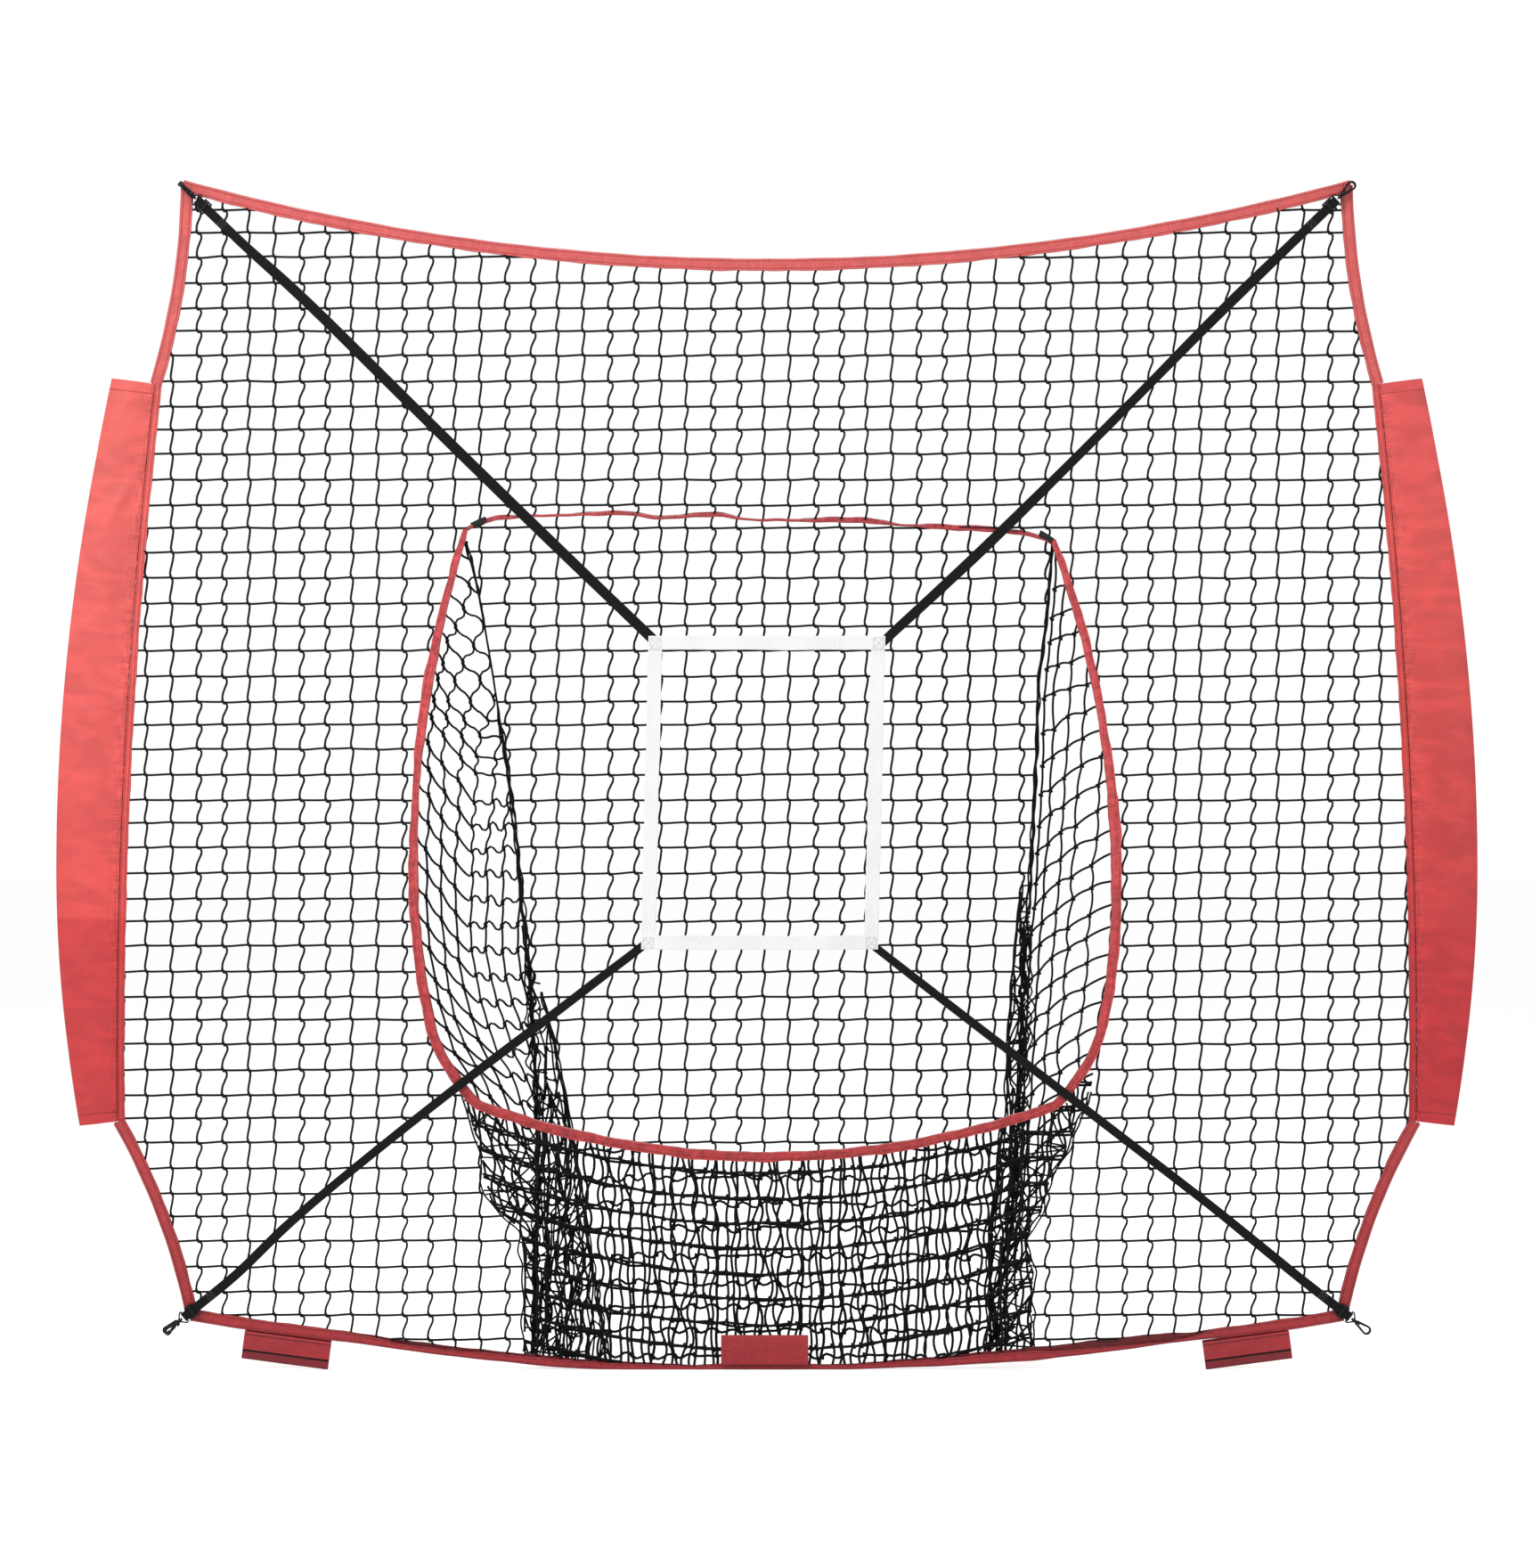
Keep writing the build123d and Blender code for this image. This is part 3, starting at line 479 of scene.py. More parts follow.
def through(points):
    """A smooth line through a few (across, z) points, as a function of z, which never
    swings past the points on either side."""
    x, z = np.array(sorted(points, key=lambda p: p[1])).T
    rise = np.diff(x) / np.diff(z)
    before, after = rise[:-1], rise[1:]
    total = np.where(before + after == 0, 1, before + after)
    slope = np.r_[rise[0], np.where(before * after > 0, 2 * before * after / total, 0), rise[-1]]

    def at(height):
        i = np.clip(np.searchsorted(z, height) - 1, 0, len(z) - 2)
        step = z[i + 1] - z[i]
        t = np.clip((height - z[i]) / step, 0, 1)
        return ((1 + 2 * t) * (1 - t) ** 2 * x[i] + t * (1 - t) ** 2 * step * slope[i]
                + t * t * (3 - 2 * t) * x[i + 1] + t * t * (t - 1) * step * slope[i + 1])
    return at

# %% The mouth


def lean(z):
    """The mouth's top hangs 16 mm to the left."""
    return -0.016 * np.clip((z - 0.383) / 1.117, 0, 1) ** 2


def mouth_side(side):
    """One side of the mouth, from its top corner down to the chin."""
    corner = (lean(1.5) + side * 0.530, 1.5)
    upper = (lean(1.181) + side * 0.61034, 1.181)
    belly = (lean(0.862) + side * 0.633, 0.862)
    low = (lean(0.7335) + side * 0.62463, 0.7335)
    cheek = (side * 0.602, 0.605)
    return np.vstack([arc(corner, upper, belly), arc(belly, low, cheek)[1:],
                      arc(cheek, (side * 0.567, 0.5335), (side * 0.520, 0.476))[1:]])


# the slack ribbon along the mouth's top, as (z, x) points: level, and lower at its ends
ribbon_height = through([(1.5135, -0.5427), (1.5231, -0.5216), (1.5344, -0.4831), (1.5376, -0.4349),
                         (1.5400, -0.3547), (1.5432, -0.2664), (1.5352, -0.1862), (1.5408, -0.0979),
                         (1.5312, -0.0257), (1.5304, 0.0867), (1.5304, 0.1589), (1.5231, 0.2311),
                         (1.5167, 0.3354), (1.5127, 0.4157), (1.4991, 0.4943), (1.4911, 0.5136)])
top_x = np.linspace(-0.5427, 0.5136, 180)      # from the first to the last of them
mouth_top = np.c_[top_x, ribbon_height(top_x)]
mouth_bottom = arc((-0.520, 0.476), (0, 0.383), (0.520, 0.476))
mouth = np.vstack([mouth_top, mouth_side(1)[2:], mouth_bottom[::-1][1:],
                   mouth_side(-1)[::-1][1:]])
print("mouth", len(mouth), "points")

# %% Inside or outside


def within(polygon, x, z):
    """Which of the points lie inside a closed line."""
    ax, az = polygon.T
    bx, bz = np.roll(polygon, -1, axis=0).T
    spans = (az > z[..., None]) != (bz > z[..., None])
    slope = (bx - ax) / np.where(bz == az, 1e-12, bz - az)
    crossing = ax + slope * (z[..., None] - az)
    return (spans & (x[..., None] < crossing)).sum(-1) % 2 == 1


centre_inside = within(mouth, np.array([0.0]), np.array([1.0]))[0]
print("the mouth is open one metre up:", bool(centre_inside))

# %% [markdown]
# ## Netting
# The net is braided twine knotted to a square mesh of 46 by 44 mm. It could be a flat
# sheet with holes painted on it, but then its edge and its knots would vanish from the
# side. So every twine is a curve with a round section, which is then made a mesh.
# A square mesh never hangs quite true: each twine leaves its knot to the right and sags
# back, two columns more and two columns less, as the machine that knotted it pulled them.

# %% The mesh and how its twines hang
mesh_wide, mesh_tall = 0.04634, 0.0443
first_column, first_row = -0.4703, 1.5578      # where column 0 and row 0 hang
twine_radius = 0.00225
row_shift = np.array([0.0, 0.0032, 0.0037, 0.0014])    # rows hang a little uneven, alike every four
print("mesh", round(mesh_wide * 1000, 1), "by", round(mesh_tall * 1000, 1), "mm")


def side_sway(column, row):
    """How far a column's twine stands to the right on its way down to the next knot, in cells."""
    marks = (0, 0.06, 0.15, 0.28, 0.45, 0.65, 0.84, 1)
    lively = np.interp(row % 1, marks, (0, 0.10, 0.16, 0.15, 0.08, 0, -0.03, 0))
    calm = np.interp(row % 1, marks, (0, 0.05, 0.06, 0.045, 0.02, -0.02, -0.045, 0))
    return np.where(column % 4 < 2, lively, calm)


def row_dip(column, row):
    """How far a row's twine hangs below its knots, in cells."""
    return 0.03 * np.sin(np.pi * (column % 1) ** 0.4)

# %% Drawing twines


def draw_twines(name, runs, radius, finish):
    """Draws each run of points as a round twine and makes them all one mesh."""
    line = bpy.data.curves.new(name, "CURVE")
    line.dimensions = "3D"
    line.bevel_depth = radius
    line.bevel_resolution = 1
    line.use_fill_caps = True
    for run in runs:
        spline = line.splines.new("POLY")
        spline.points.add(len(run) - 1)
        spline.points.foreach_set("co", np.c_[run, np.ones(len(run))].astype("f").ravel())
    piece = bpy.data.objects.new(name, line)
    bpy.context.collection.objects.link(piece)
    pick(piece)
    bpy.ops.object.convert(target="MESH")
    piece.data.materials.clear()
    piece.data.materials.append(finish)
    return piece

# %% Where a twine ends


def stretches(points, kept):
    """Cuts a line of points into the stretches that are kept, each run on to the very edge."""
    inside = kept(points)
    marks = np.flatnonzero(np.diff(np.r_[0, inside.astype(int), 0]))
    starts, ends = marks[::2], marks[1::2] - 1
    last = len(points) - 1
    near = points[np.r_[starts, ends]]
    far = points[np.clip(np.r_[starts - 1, ends + 1], 0, last)]
    for _ in range(6):
        middle = (near + far) / 2
        held = kept(middle)[:, None]
        near, far = np.where(held, middle, near), np.where(held, far, middle)
    tips = np.split(near, [len(starts)])
    runs = [np.vstack([tips[0][k], points[a:b + 1], tips[1][k]])
            for k, (a, b) in enumerate(zip(starts, ends)) if b > a]
    return [run[np.r_[True, np.linalg.norm(np.diff(run, axis=0), axis=1) > 1e-5]] for run in runs]

# %% A small model and its copies


def strew(name, model, frames, finish):
    """One mesh with a copy of a small model at every frame: rows of x, y and z axes and place."""
    count = len(model.data.vertices)
    shape = np.zeros(count * 3)
    model.data.vertices.foreach_get("co", shape)
    axes, spots = np.asarray(frames)[:, :3], np.asarray(frames)[:, 3]
    points = np.einsum("vk,fkc->fvc", shape.reshape(-1, 3), axes) + spots[:, None]
    faces = [list(f.vertices) for f in model.data.polygons]
    mesh = bpy.data.meshes.new(name)
    mesh.from_pydata(points.reshape(-1, 3).tolist(), [],
                     [[v + k * count for v in f] for k in range(len(axes)) for f in faces])
    mesh.materials.append(finish)
    mesh.shade_smooth()
    piece = bpy.data.objects.new(name, mesh)
    bpy.context.collection.objects.link(piece)
    return piece

# %% A knot
# the row's twine bent once round the column's and pulled tight, seen as a slanted lump
deselect()
bpy.ops.mesh.primitive_torus_add(major_segments=8, minor_segments=4, major_radius=0.0031,
                                 minor_radius=0.0021, rotation=(0, math.radians(52), 0))
knot_model = bpy.context.object
bpy.ops.object.transform_apply(location=True, rotation=True, scale=True)
bpy.ops.object.mode_set(mode="EDIT")
bpy.ops.mesh.select_all(action="SELECT")
bpy.ops.transform.resize(value=(1.05, 1.1, 1.3))
bpy.ops.object.mode_set(mode="OBJECT")
print("knot", [round(size * 1000, 1) for size in knot_model.dimensions], "mm")

# %% Netting over any surface
knot_margin = 0.009           # how far inside the netting's edge the outermost knots are


def eased(values, at):
    """Values given at 0, 1, 2 and so on, joined by soft steps."""
    near = np.floor(at).astype(int)
    part = at - near
    part = part * part * (3 - 2 * part)
    return values[near] * (1 - part) + values[near + 1] * part


def knot_net(name, place, columns, rows, kept, finish, radius=twine_radius, sway=side_sway,
             dip=row_dip, jitter=(0.012, 0.012), seed=1):
    """Netting over the surface place(column, row), wherever kept(points) says so.
    Rows count downwards. sway and dip shape the twines between their knots, and jitter
    moves the knots across and down, all in cells. Makes the columns, the rows and the knots."""
    rng = np.random.default_rng(seed)
    cols_n, rows_n = columns[1] - columns[0] + 1, rows[1] - rows[0] + 1
    shake = np.clip(rng.normal(0, 1, (2, cols_n + 1, rows_n + 1)), -2, 2)
    shake *= np.reshape(jitter, (2, 1, 1))
    # where along a cell its twines get their points
    down = np.array([0, 0.06, 0.15, 0.28, 0.45, 0.65, 0.84])
    over = np.array([0, 0.08, 0.22, 0.42, 0.62, 0.82])
    column_runs, row_runs = [], []
    for i in range(cols_n):
        v = (np.arange(rows_n - 1)[:, None] + down).ravel()
        u = i + eased(shake[0, i], v) + sway(columns[0] + i, rows[0] + v)
        w = v + eased(shake[1, i], v)
        column_runs += stretches(place(columns[0] + u, rows[0] + w), kept)
    for j in range(rows_n):
        u = (np.arange(cols_n - 1)[:, None] + over).ravel()
        w = j + eased(shake[1, :, j], u) + dip(columns[0] + u, rows[0] + j)
        across = u + eased(shake[0, :, j], u)
        row_runs += stretches(place(columns[0] + across, rows[0] + w), kept)
    u, v = np.meshgrid(np.arange(cols_n), np.arange(rows_n), indexing="ij")
    u = (u + shake[0, :cols_n, :rows_n]).ravel() + columns[0]
    v = (v + shake[1, :cols_n, :rows_n]).ravel() + rows[0]
    spots = place(u, v)
    x_axis = place(u + 0.1, v) - place(u - 0.1, v)
    z_axis = place(u, v - 0.1) - place(u, v + 0.1)
    x_axis /= np.linalg.norm(x_axis, axis=1, keepdims=True) + 1e-9
    y_axis = np.cross(z_axis, x_axis)
    y_axis /= np.linalg.norm(y_axis, axis=1, keepdims=True) + 1e-9
    size = radius / twine_radius
    frames = np.stack([x_axis * size, y_axis * size, np.cross(x_axis, y_axis) * size, spots], axis=1)
    # no knots under the tapes: a knot is kept only well inside the netting's edge
    clear = kept(spots)
    for way in ((1, 0, 0), (-1, 0, 0), (0, 0, 1), (0, 0, -1)):
        clear &= kept(spots + np.multiply(way, knot_margin))
    frames = frames[clear]
    pieces = [draw_twines(name + "_columns", column_runs, radius, finish),
              draw_twines(name + "_rows", row_runs, radius, finish),
              strew(name + "_knots", knot_model, frames, finish)]
    for piece in pieces:
        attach(piece, "net")
    length = sum(np.linalg.norm(np.diff(r, axis=0), axis=1).sum() for r in column_runs + row_runs)
    print(name, "twine", round(length, 1), "m,", len(frames), "knots,",
          [len(p.data.polygons) for p in pieces], "faces")
    return pieces

# %% The front net's own layout


def flat_place(column, row):
    """The front net's own layout, in the plane y = 0. Row spacing varies a little."""
    z = first_row - row * mesh_tall
    near = np.floor(row).astype(int)
    part = row - near
    z = z + (1 - part) * row_shift[near % 4] + part * row_shift[(near + 1) % 4]
    x = first_column + column * mesh_wide
    return np.stack([x, np.zeros_like(x), z], axis=-1)

# %% [markdown]
# ## The front net
# The front net fills the edge, except for the mouth and the stretch below it, where the
# pocket hangs in doubled, looser netting. Twines run on under the red edge, as they do in
# the real net, where the edge is folded over them and sewn.

# %% Front net
# the pocket's flanks below the mouth: first bellied, then pulled in to the hem
flank = {-1: through([(-0.557, 0.5285), (-0.539, 0.462), (-0.519, 0.402), (-0.512, 0.355), (-0.510, 0.318),
                      (-0.492, 0.295), (-0.469, 0.272), (-0.442, 0.245), (-0.447, 0.215), (-0.437, 0.185),
                      (-0.437, 0.010)]),
         1: through([(0.589, 0.535), (0.581, 0.488), (0.561, 0.448), (0.544, 0.395), (0.517, 0.358),
                     (0.504, 0.318), (0.494, 0.282), (0.477, 0.252), (0.467, 0.228), (0.481, 0.175),
                     (0.477, 0.128), (0.481, 0.010)])}
flank_z = np.linspace(0.54, -0.02, 40)
pocket_zone = np.vstack([np.c_[flank[-1](flank_z), flank_z], np.c_[flank[1](flank_z), flank_z][::-1]])


def on_front(points):
    """Inside the outline, but not in the mouth or where the pocket hangs."""
    x, z = points[:, 0], points[:, 2]
    return within(outline, x, z) & ~within(mouth, x, z) & ~within(pocket_zone, x, z)


front_pieces = knot_net("front_net", flat_place, (-15, 36), (-14, 36), on_front, twine_grey)
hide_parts("front_net")

# %% [markdown]
# ## The ball pocket
# Behind the mouth the same columns and rows run on down the pocket's back panel, which
# hangs up to 180 mm behind. Two side panels close it; their netting is cut narrower
# towards the top, fans out, and is pulled into diamonds. At the bottom all of it is
# gathered, so the twines crowd into two dark bunches.
# Each panel is the same netting as the front, laid over its own curved surface.

# %% Where the panels hang
pocket_radius = 0.0026        # the pocket is knotted from thicker twine
pocket_near, pocket_deep = 0.0045, 0.178      # its depth at its ends, and what its belly adds
belly_at, belly_up, belly_down = 0.44, 1.078, 0.426   # where that is, and how far it tapers


def pocket_depth(z):
    """How far behind the front net the pocket's back hangs."""
    high = 1 - np.clip((z - belly_at) / belly_up, 0, 1) ** 1.5
    low = 1 - np.clip((belly_at - z) / belly_down, 0, 1) ** 2.2
    return pocket_near + pocket_deep * np.where(z > belly_at, high, low)


def pushed_back(points, depth):
    """Moves points of the front plane back, spread so that they stay in line with the eye."""
    grow = (eye_distance + depth) / eye_distance
    x = view_middle[0] + (points[..., 0] - view_middle[0]) * grow
    z = view_middle[1] + (points[..., 2] - view_middle[1]) * grow
    return np.stack([x, points[..., 1] + depth, z], axis=-1)


def seen_at(points):
    """Where points of the pocket appear in the front plane."""
    shrink = eye_distance / (eye_distance + points[:, 1])
    x = view_middle[0] + (points[:, 0] - view_middle[0]) * shrink
    return x, view_middle[1] + (points[:, 2] - view_middle[1]) * shrink


# the seams between the back panel and the side panels
seam = {-1: through([(-0.5425, 1.490), (-0.525, 1.424), (-0.498, 1.276), (-0.478, 1.148), (-0.467, 1.080),
                     (-0.451, 0.945), (-0.437, 0.809), (-0.427, 0.687), (-0.413, 0.396), (-0.421, 0.018)]),
        1: through([(0.515, 1.488), (0.502, 1.332), (0.490, 1.239), (0.486, 1.117), (0.480, 0.994),
                    (0.4735, 0.8715), (0.4655, 0.778), (0.4590, 0.637), (0.4478, 0.350), (0.4200, 0.140),
                    (0.4157, 0.020)])}
mouth_low = through([(z, x) for x, z in mouth_bottom[::12]])
hem_low = through([(z, x) for x, z in net_end[::10]])

# %% Back panel, behind the mouth


def back_place(column, row):
    """The front net's layout, pushed back to the pocket's back panel."""
    flat = flat_place(column, row)
    return pushed_back(flat, pocket_depth(flat[..., 2]))


def on_back_high(points):
    """Between the seams, from the ribbon down to the mouth's lower edge."""
    x, z = seen_at(points)
    return ((x > seam[-1](z)) & (x < seam[1](z)) & (z > mouth_low(x) - 0.006)
            & (z < ribbon_height(x)))


back_high = knot_net("pocket_back_high", back_place, (-2, 22), (-1, 28), on_back_high, twine_grey,
                     seed=2)
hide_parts("pocket_back")

# %% [markdown]
# Below the mouth the pocket is two sheets, one before the other. Both are slack: a back
# sheet whose rows hump between their knots, and an apron whose rows follow the mouth.

# %% Slack netting below the mouth
slack_pitch = 0.038           # the netting is gathered, so its columns stand closer
apron_drop, apron_tall = 0.029, 0.0455        # its first row below the mouth, and its spacing


def barrel_sway(column, row):
    """Neighbouring columns bulge apart and meet again, in cells."""
    return (0.08 * np.sin(np.pi * (row % 1)) * (-1) ** (np.floor(row) + round(column))
            + 0.06 * np.sin(2.9 * row + 1.7 * column))


def hump_dip(column, row):
    """A row dips after one knot and humps before the next, in cells."""
    return 0.12 * np.sin(2 * np.pi * (column % 1)) * np.sin(0.9 * row + 0.4 * column)


def slack_place(column, row):
    """The back sheet, whose rows hang a part of a cell lower than the square netting's."""
    lower = np.clip(0.39 + 0.07 * (row - 27), 0.25, 0.65)
    flat = flat_place(column * slack_pitch / mesh_wide, row + lower)
    return pushed_back(flat, pocket_depth(flat[..., 2]) - 0.003)


def on_back_low(points):
    """Between the seams, from the mouth's lower edge down to the hem."""
    x, z = seen_at(points)
    return ((x > seam[-1](z) - 0.004) & (x < seam[1](z) + 0.004) & (z < mouth_low(x))
            & (z > hem_low(x)))


def apron_place(column, row):
    """Rows run side by side with the mouth's lower edge."""
    x = first_column + (column + 0.45) * slack_pitch
    z = mouth_low(x) - apron_drop - apron_tall * row
    return np.stack([x, 0.0015 + 0 * x, z], axis=-1)


def on_apron(points):
    """Where the pocket hangs, below the mouth."""
    x, z = points[:, 0], points[:, 2]
    return within(outline, x, z) & ~within(mouth, x, z) & within(pocket_zone, x, z)


def lining_place(column, row):
    """The apron's second layer: its rows lie just under the first one's and close in mid-way."""
    return apron_place(column + 0.38, row + 0.03 + 0.0006 * (column - 12) ** 2) + (0, 0.005, 0)

# %% The back sheet, the apron and its lining
back_low = knot_net("pocket_back_low", slack_place, (-1, 26), (25, 36), on_back_low, twine_black,
                    pocket_radius, barrel_sway, hump_dip, (0.07, 0.05), 3)
apron = knot_net("pocket_front", apron_place, (-3, 30), (-2, 9), on_apron, twine_black,
                 pocket_radius, barrel_sway, row_dip, (0.06, 0.03), 4)
apron += knot_net("pocket_lining", lining_place, (-3, 30), (-2, 9), on_apron, twine_black,
                  pocket_radius, barrel_sway, row_dip, (0.08, 0.04), 5)

# %% The lacing that joins the slack netting to the square one, behind the mouth's lower edge
lacing_radius = 0.0034
x = np.linspace(-0.46, 0.46, 231)
x = x[(x > seam[-1](mouth_low(x))) & (x < seam[1](mouth_low(x)))]
z = mouth_low(x) + 0.0012 * np.sin(x * 420)
laced = pushed_back(np.stack([x, 0 * x, z], axis=-1), pocket_depth(z) - 0.0015)
lacing = draw_twines("pocket_back_lacing", [laced], lacing_radius, twine_black)
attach(lacing, "net")
print("lacing", round(float(np.ptp(x)), 2), "m wide")

# %% [markdown]
# The side panels turn from the back seam to the mouth's edge. On the left the netting
# leaves the edge edgewise, faces the front half way and turns back again, so its cells
# look narrow, wide and narrow. On the right it faces the front beside the edge.
# Near the edge each row climbs from cell to cell, which pulls the cells into diamonds.

# %% Where the side panels hang
rim = {side: through([(x, z) for x, z in mouth_side(side)[::14] if z > 0.56]
                     + [(float(flank[side](z)), z) for z in (0.51, 0.44, 0.38, 0.30, 0.24, 0.16, 0.02)])
       for side in (-1, 1)}
rim_depth = through([(0.004, 1.5), (0.004, 1.2), (0.004, 0.9), (0.004, 0.70), (0.006, 0.62),
                     (0.020, 0.49), (0.034, 0.33), (0.026, 0.2), (0.006, 0.02)])
# how many cells a panel has from edge to seam, at each height
cells_across = {
    -1: through([(0.3, 1.500), (0.8, 1.450), (1.3, 1.400), (1.9, 1.350), (2.6, 1.300),
                 (3.4, 1.250), (4.2, 1.200), (4.9, 1.150), (5.6, 1.100), (6.4, 1.000),
                 (7.0, 0.900), (7.6, 0.75), (5.4, 0.50), (2.4, 0.30), (1.2, 0.20), (1.0, 0.02)]),
    1: through([(1.0, 1.500), (2.8, 1.379), (3.4, 1.336), (4.3, 1.249), (5.2, 1.119),
                (6.0, 0.945), (6.2, 0.75), (5.6, 0.50), (3.6, 0.30), (2.4, 0.02)])}
# how far the rows climb: over how many cells on the left, and by how much on the right
left_climb = through([(4.0, 1.50), (4.0, 1.21), (4.0, 1.10), (3.8, 1.00), (3.6, 0.0)])
right_climb = through([(0.015, 1.50), (0.020, 1.38), (0.043, 1.25), (0.090, 1.12), (0.115, 0.95),
                       (0.115, 0.02)])
print("left panel", float(cells_across[-1](0.9)), "cells wide at its middle, right panel",
      round(float(cells_across[1](0.9)), 1))


def panel_point(side, z, wide_part, seam_part):
    """A point of a side panel, from how far it is across and back to the seam, 0 to 1."""
    back = pushed_back(np.stack([seam[side](z), 0 * z, z], axis=-1), pocket_depth(z))
    edge = np.stack([rim[side](z), rim_depth(z), z], axis=-1)
    spot = edge + (back - edge) * wide_part[..., None]
    spot[..., 1] = edge[..., 1] + (back[..., 1] - edge[..., 1]) * seam_part
    return spot

# %% How each panel's cells lie
left_row_14, right_row_12 = 0.9284, 1.017     # the heights of a middle row of each panel
left_tall, left_slope = 0.0462, 0.034         # row spacing, and how far a row falls per column


def left_place(column, row):
    """Columns are counted from the mouth's edge. Above row 8 the rows stand closer."""
    z = left_row_14 - np.maximum(row - 14, -6) * left_tall + np.maximum(8 - row, 0) * left_slope
    z = z - left_slope * np.minimum(column, left_climb(z))
    part = np.clip(column / cells_across[-1](z), 0, 1.6)
    bunched = 1.1 + 0.45 * np.clip((z - 1.05) / 0.15, 0, 1)
    return panel_point(-1, z, part ** bunched, part)


def right_place(column, row):
    """Columns are counted from the seam."""
    z = right_row_12 - (row - 12) * mesh_tall
    part = 1 - column / cells_across[1](z)
    z = z - right_climb(z) * part
    wide_part = 1 - (0.25 * (1 - part) + 0.75 * (1 - part) ** 2)
    return panel_point(1, z, wide_part, np.abs(part) ** 1.4)

# %% How the panels' twines hang, and the two panels
panel_top, panel_radius = 1.487, 0.0021


def on_panel(side):
    """Between the mouth's edge and the seam, above the hem."""
    def kept(points):
        x, z = seen_at(points)
        edge = rim[side](points[:, 2])
        return ((side * points[:, 0] < side * edge) & (side * x > side * seam[side](z))
                & (z > hem_low(x)) & (z < panel_top))
    return kept


def left_dip(column, row):
    """High up, rows drop straight from a knot and level out half way. Low down they do so
    beside the edge; near the seam they dip after one knot and hump before the next."""
    part = column % 1
    near_edge = np.clip((4.3 - column) / 1.5, 0, 1)
    low = (near_edge * 0.13 * np.sin(np.pi * part) ** 1.5
           - (1 - near_edge) * 0.17 * np.sin(2 * np.pi * part) * np.clip(column - 3.4, 0, 1))
    high = np.clip((9.5 - row) / 3, 0, 1)
    return high * 0.08 * np.sin(2 * np.pi * part) + (1 - high) * low


def left_sway(column, row):
    """Columns leave and reach their knots upright, and slant in between."""
    high = np.clip((14 - row) / 4, 0, 1)
    return 0.10 * high * np.sin(2 * np.pi * (row % 1)) + 0.05 * np.sin(np.pi * (row % 1))


def right_dip(column, row):
    """Rows arch up between their knots."""
    return -0.07 * np.sin(np.pi * (column % 1) ** 0.7)


def right_sway(column, row):
    """Neighbouring columns bow apart and together, which rounds their cells."""
    return 0.09 * np.sin(np.pi * (row % 1)) * (1 if column % 2 else -1)


for side, word, place, sway, dip in ((-1, "left", left_place, left_sway, left_dip),
                                     (1, "right", right_place, right_sway, right_dip)):
    panel = knot_net(word + "_pocket_side", place, (0 if side < 0 else 1, 9), (-1, 34),
                     on_panel(side), twine_black, panel_radius, sway, dip, (0.06, 0.06), 6 + side)
    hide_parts(word + "_pocket_side")

# %% [markdown]
# ## The gathers
# Low down, the side panels have more netting than room, so it lies in folds beside the
# seams. A fold is the same netting again with its columns pushed together, so that its
# rows, which keep their length, stand up steeply between them. Painting the folds on one
# sheet would be quicker, but from the side they have to be as deep as they look.

# %% Folded netting beside the seams
gather_edge = {
    -1: through([(-0.408, 0.685), (-0.380, 0.573), (-0.355, 0.445), (-0.332, 0.308),
                 (-0.319, 0.220), (-0.286, 0.018)]),
    1: through([(0.462, 0.900), (0.450, 0.790), (0.437, 0.629), (0.4325, 0.530), (0.431, 0.460),
                (0.4205, 0.419), (0.414, 0.327), (0.401, 0.234), (0.4005, 0.111), (0.3965, 0.018)])}


def fold_place(side, pitch, outer_pitch, scale, phase):
    """A fold's layout. Columns are counted from the seam towards the pocket's middle, and
    below 0 outwards; scale is how deep it lies in the pocket."""
    def place(column, row):
        z = first_row - slack_pitch * (row + phase)
        step = np.where(column > 0, pitch, outer_pitch)
        x = seam[side](z) - side * step * (column + 0.3 * np.sin(row * 0.7 + column * 1.9))
        depth = pocket_depth(z) * scale * (1 + 0.07 * np.sin(column * 2.1 + row * 0.6))
        return pushed_back(np.stack([x, 0 * x, z], axis=-1), depth)
    return place


def in_fold(side, top):
    """From the fold's taut edge to the seam, and below the mouth's edge on to the flank."""
    def kept(points):
        x, z = seen_at(points)
        outer = np.where(within(mouth, x, z) | (z > 0.48), seam[side](z) + side * 0.006, flank[side](z))
        return ((side * x > side * gather_edge[side](z)) & (side * x < side * outer) & (z < top)
                & (z > hem_low(x)))
    return kept

# %% Two layers of folds on each side
fold_radius, outer_pitch = 0.0018, 0.040
# each side's sign, the spacing of its columns, where its folds begin, its rows, and the
# columns of its front and its back layer
folds = {"left": (-1, 0.0120, 0.70, (22, 41), ((-3, 14), (0, 5))),
         "right": (1, 0.0105, 0.88, (17, 41), ((-2, 14), (0, 10)))}
for word, (side, pitch, top, rows, both_columns) in folds.items():
    for layer, columns in enumerate(both_columns):
        place = fold_place(side, pitch * (1 + 0.4 * layer), outer_pitch, (0.93, 0.74)[layer],
                           0.45 * layer)
        fold = knot_net(f"{word}_gather_{layer + 1}", place, columns, rows,
                        in_fold(side, top - 0.2 * layer), twine_black, fold_radius,
                        barrel_sway, row_dip, (0.42, 0.32), 20 + 3 * side + layer)

# %% [markdown]
# ## The pocket's seams
# Each seam is a cord of several twines that bind the panels together. Where the netting is
# gathered, more of them crowd side by side and cross one another. A single thick rope
# would do from far away, but the gaps between the twines let light through, so each twine
# is drawn for itself, with its own slow waves.

# %% Twines side by side along a line


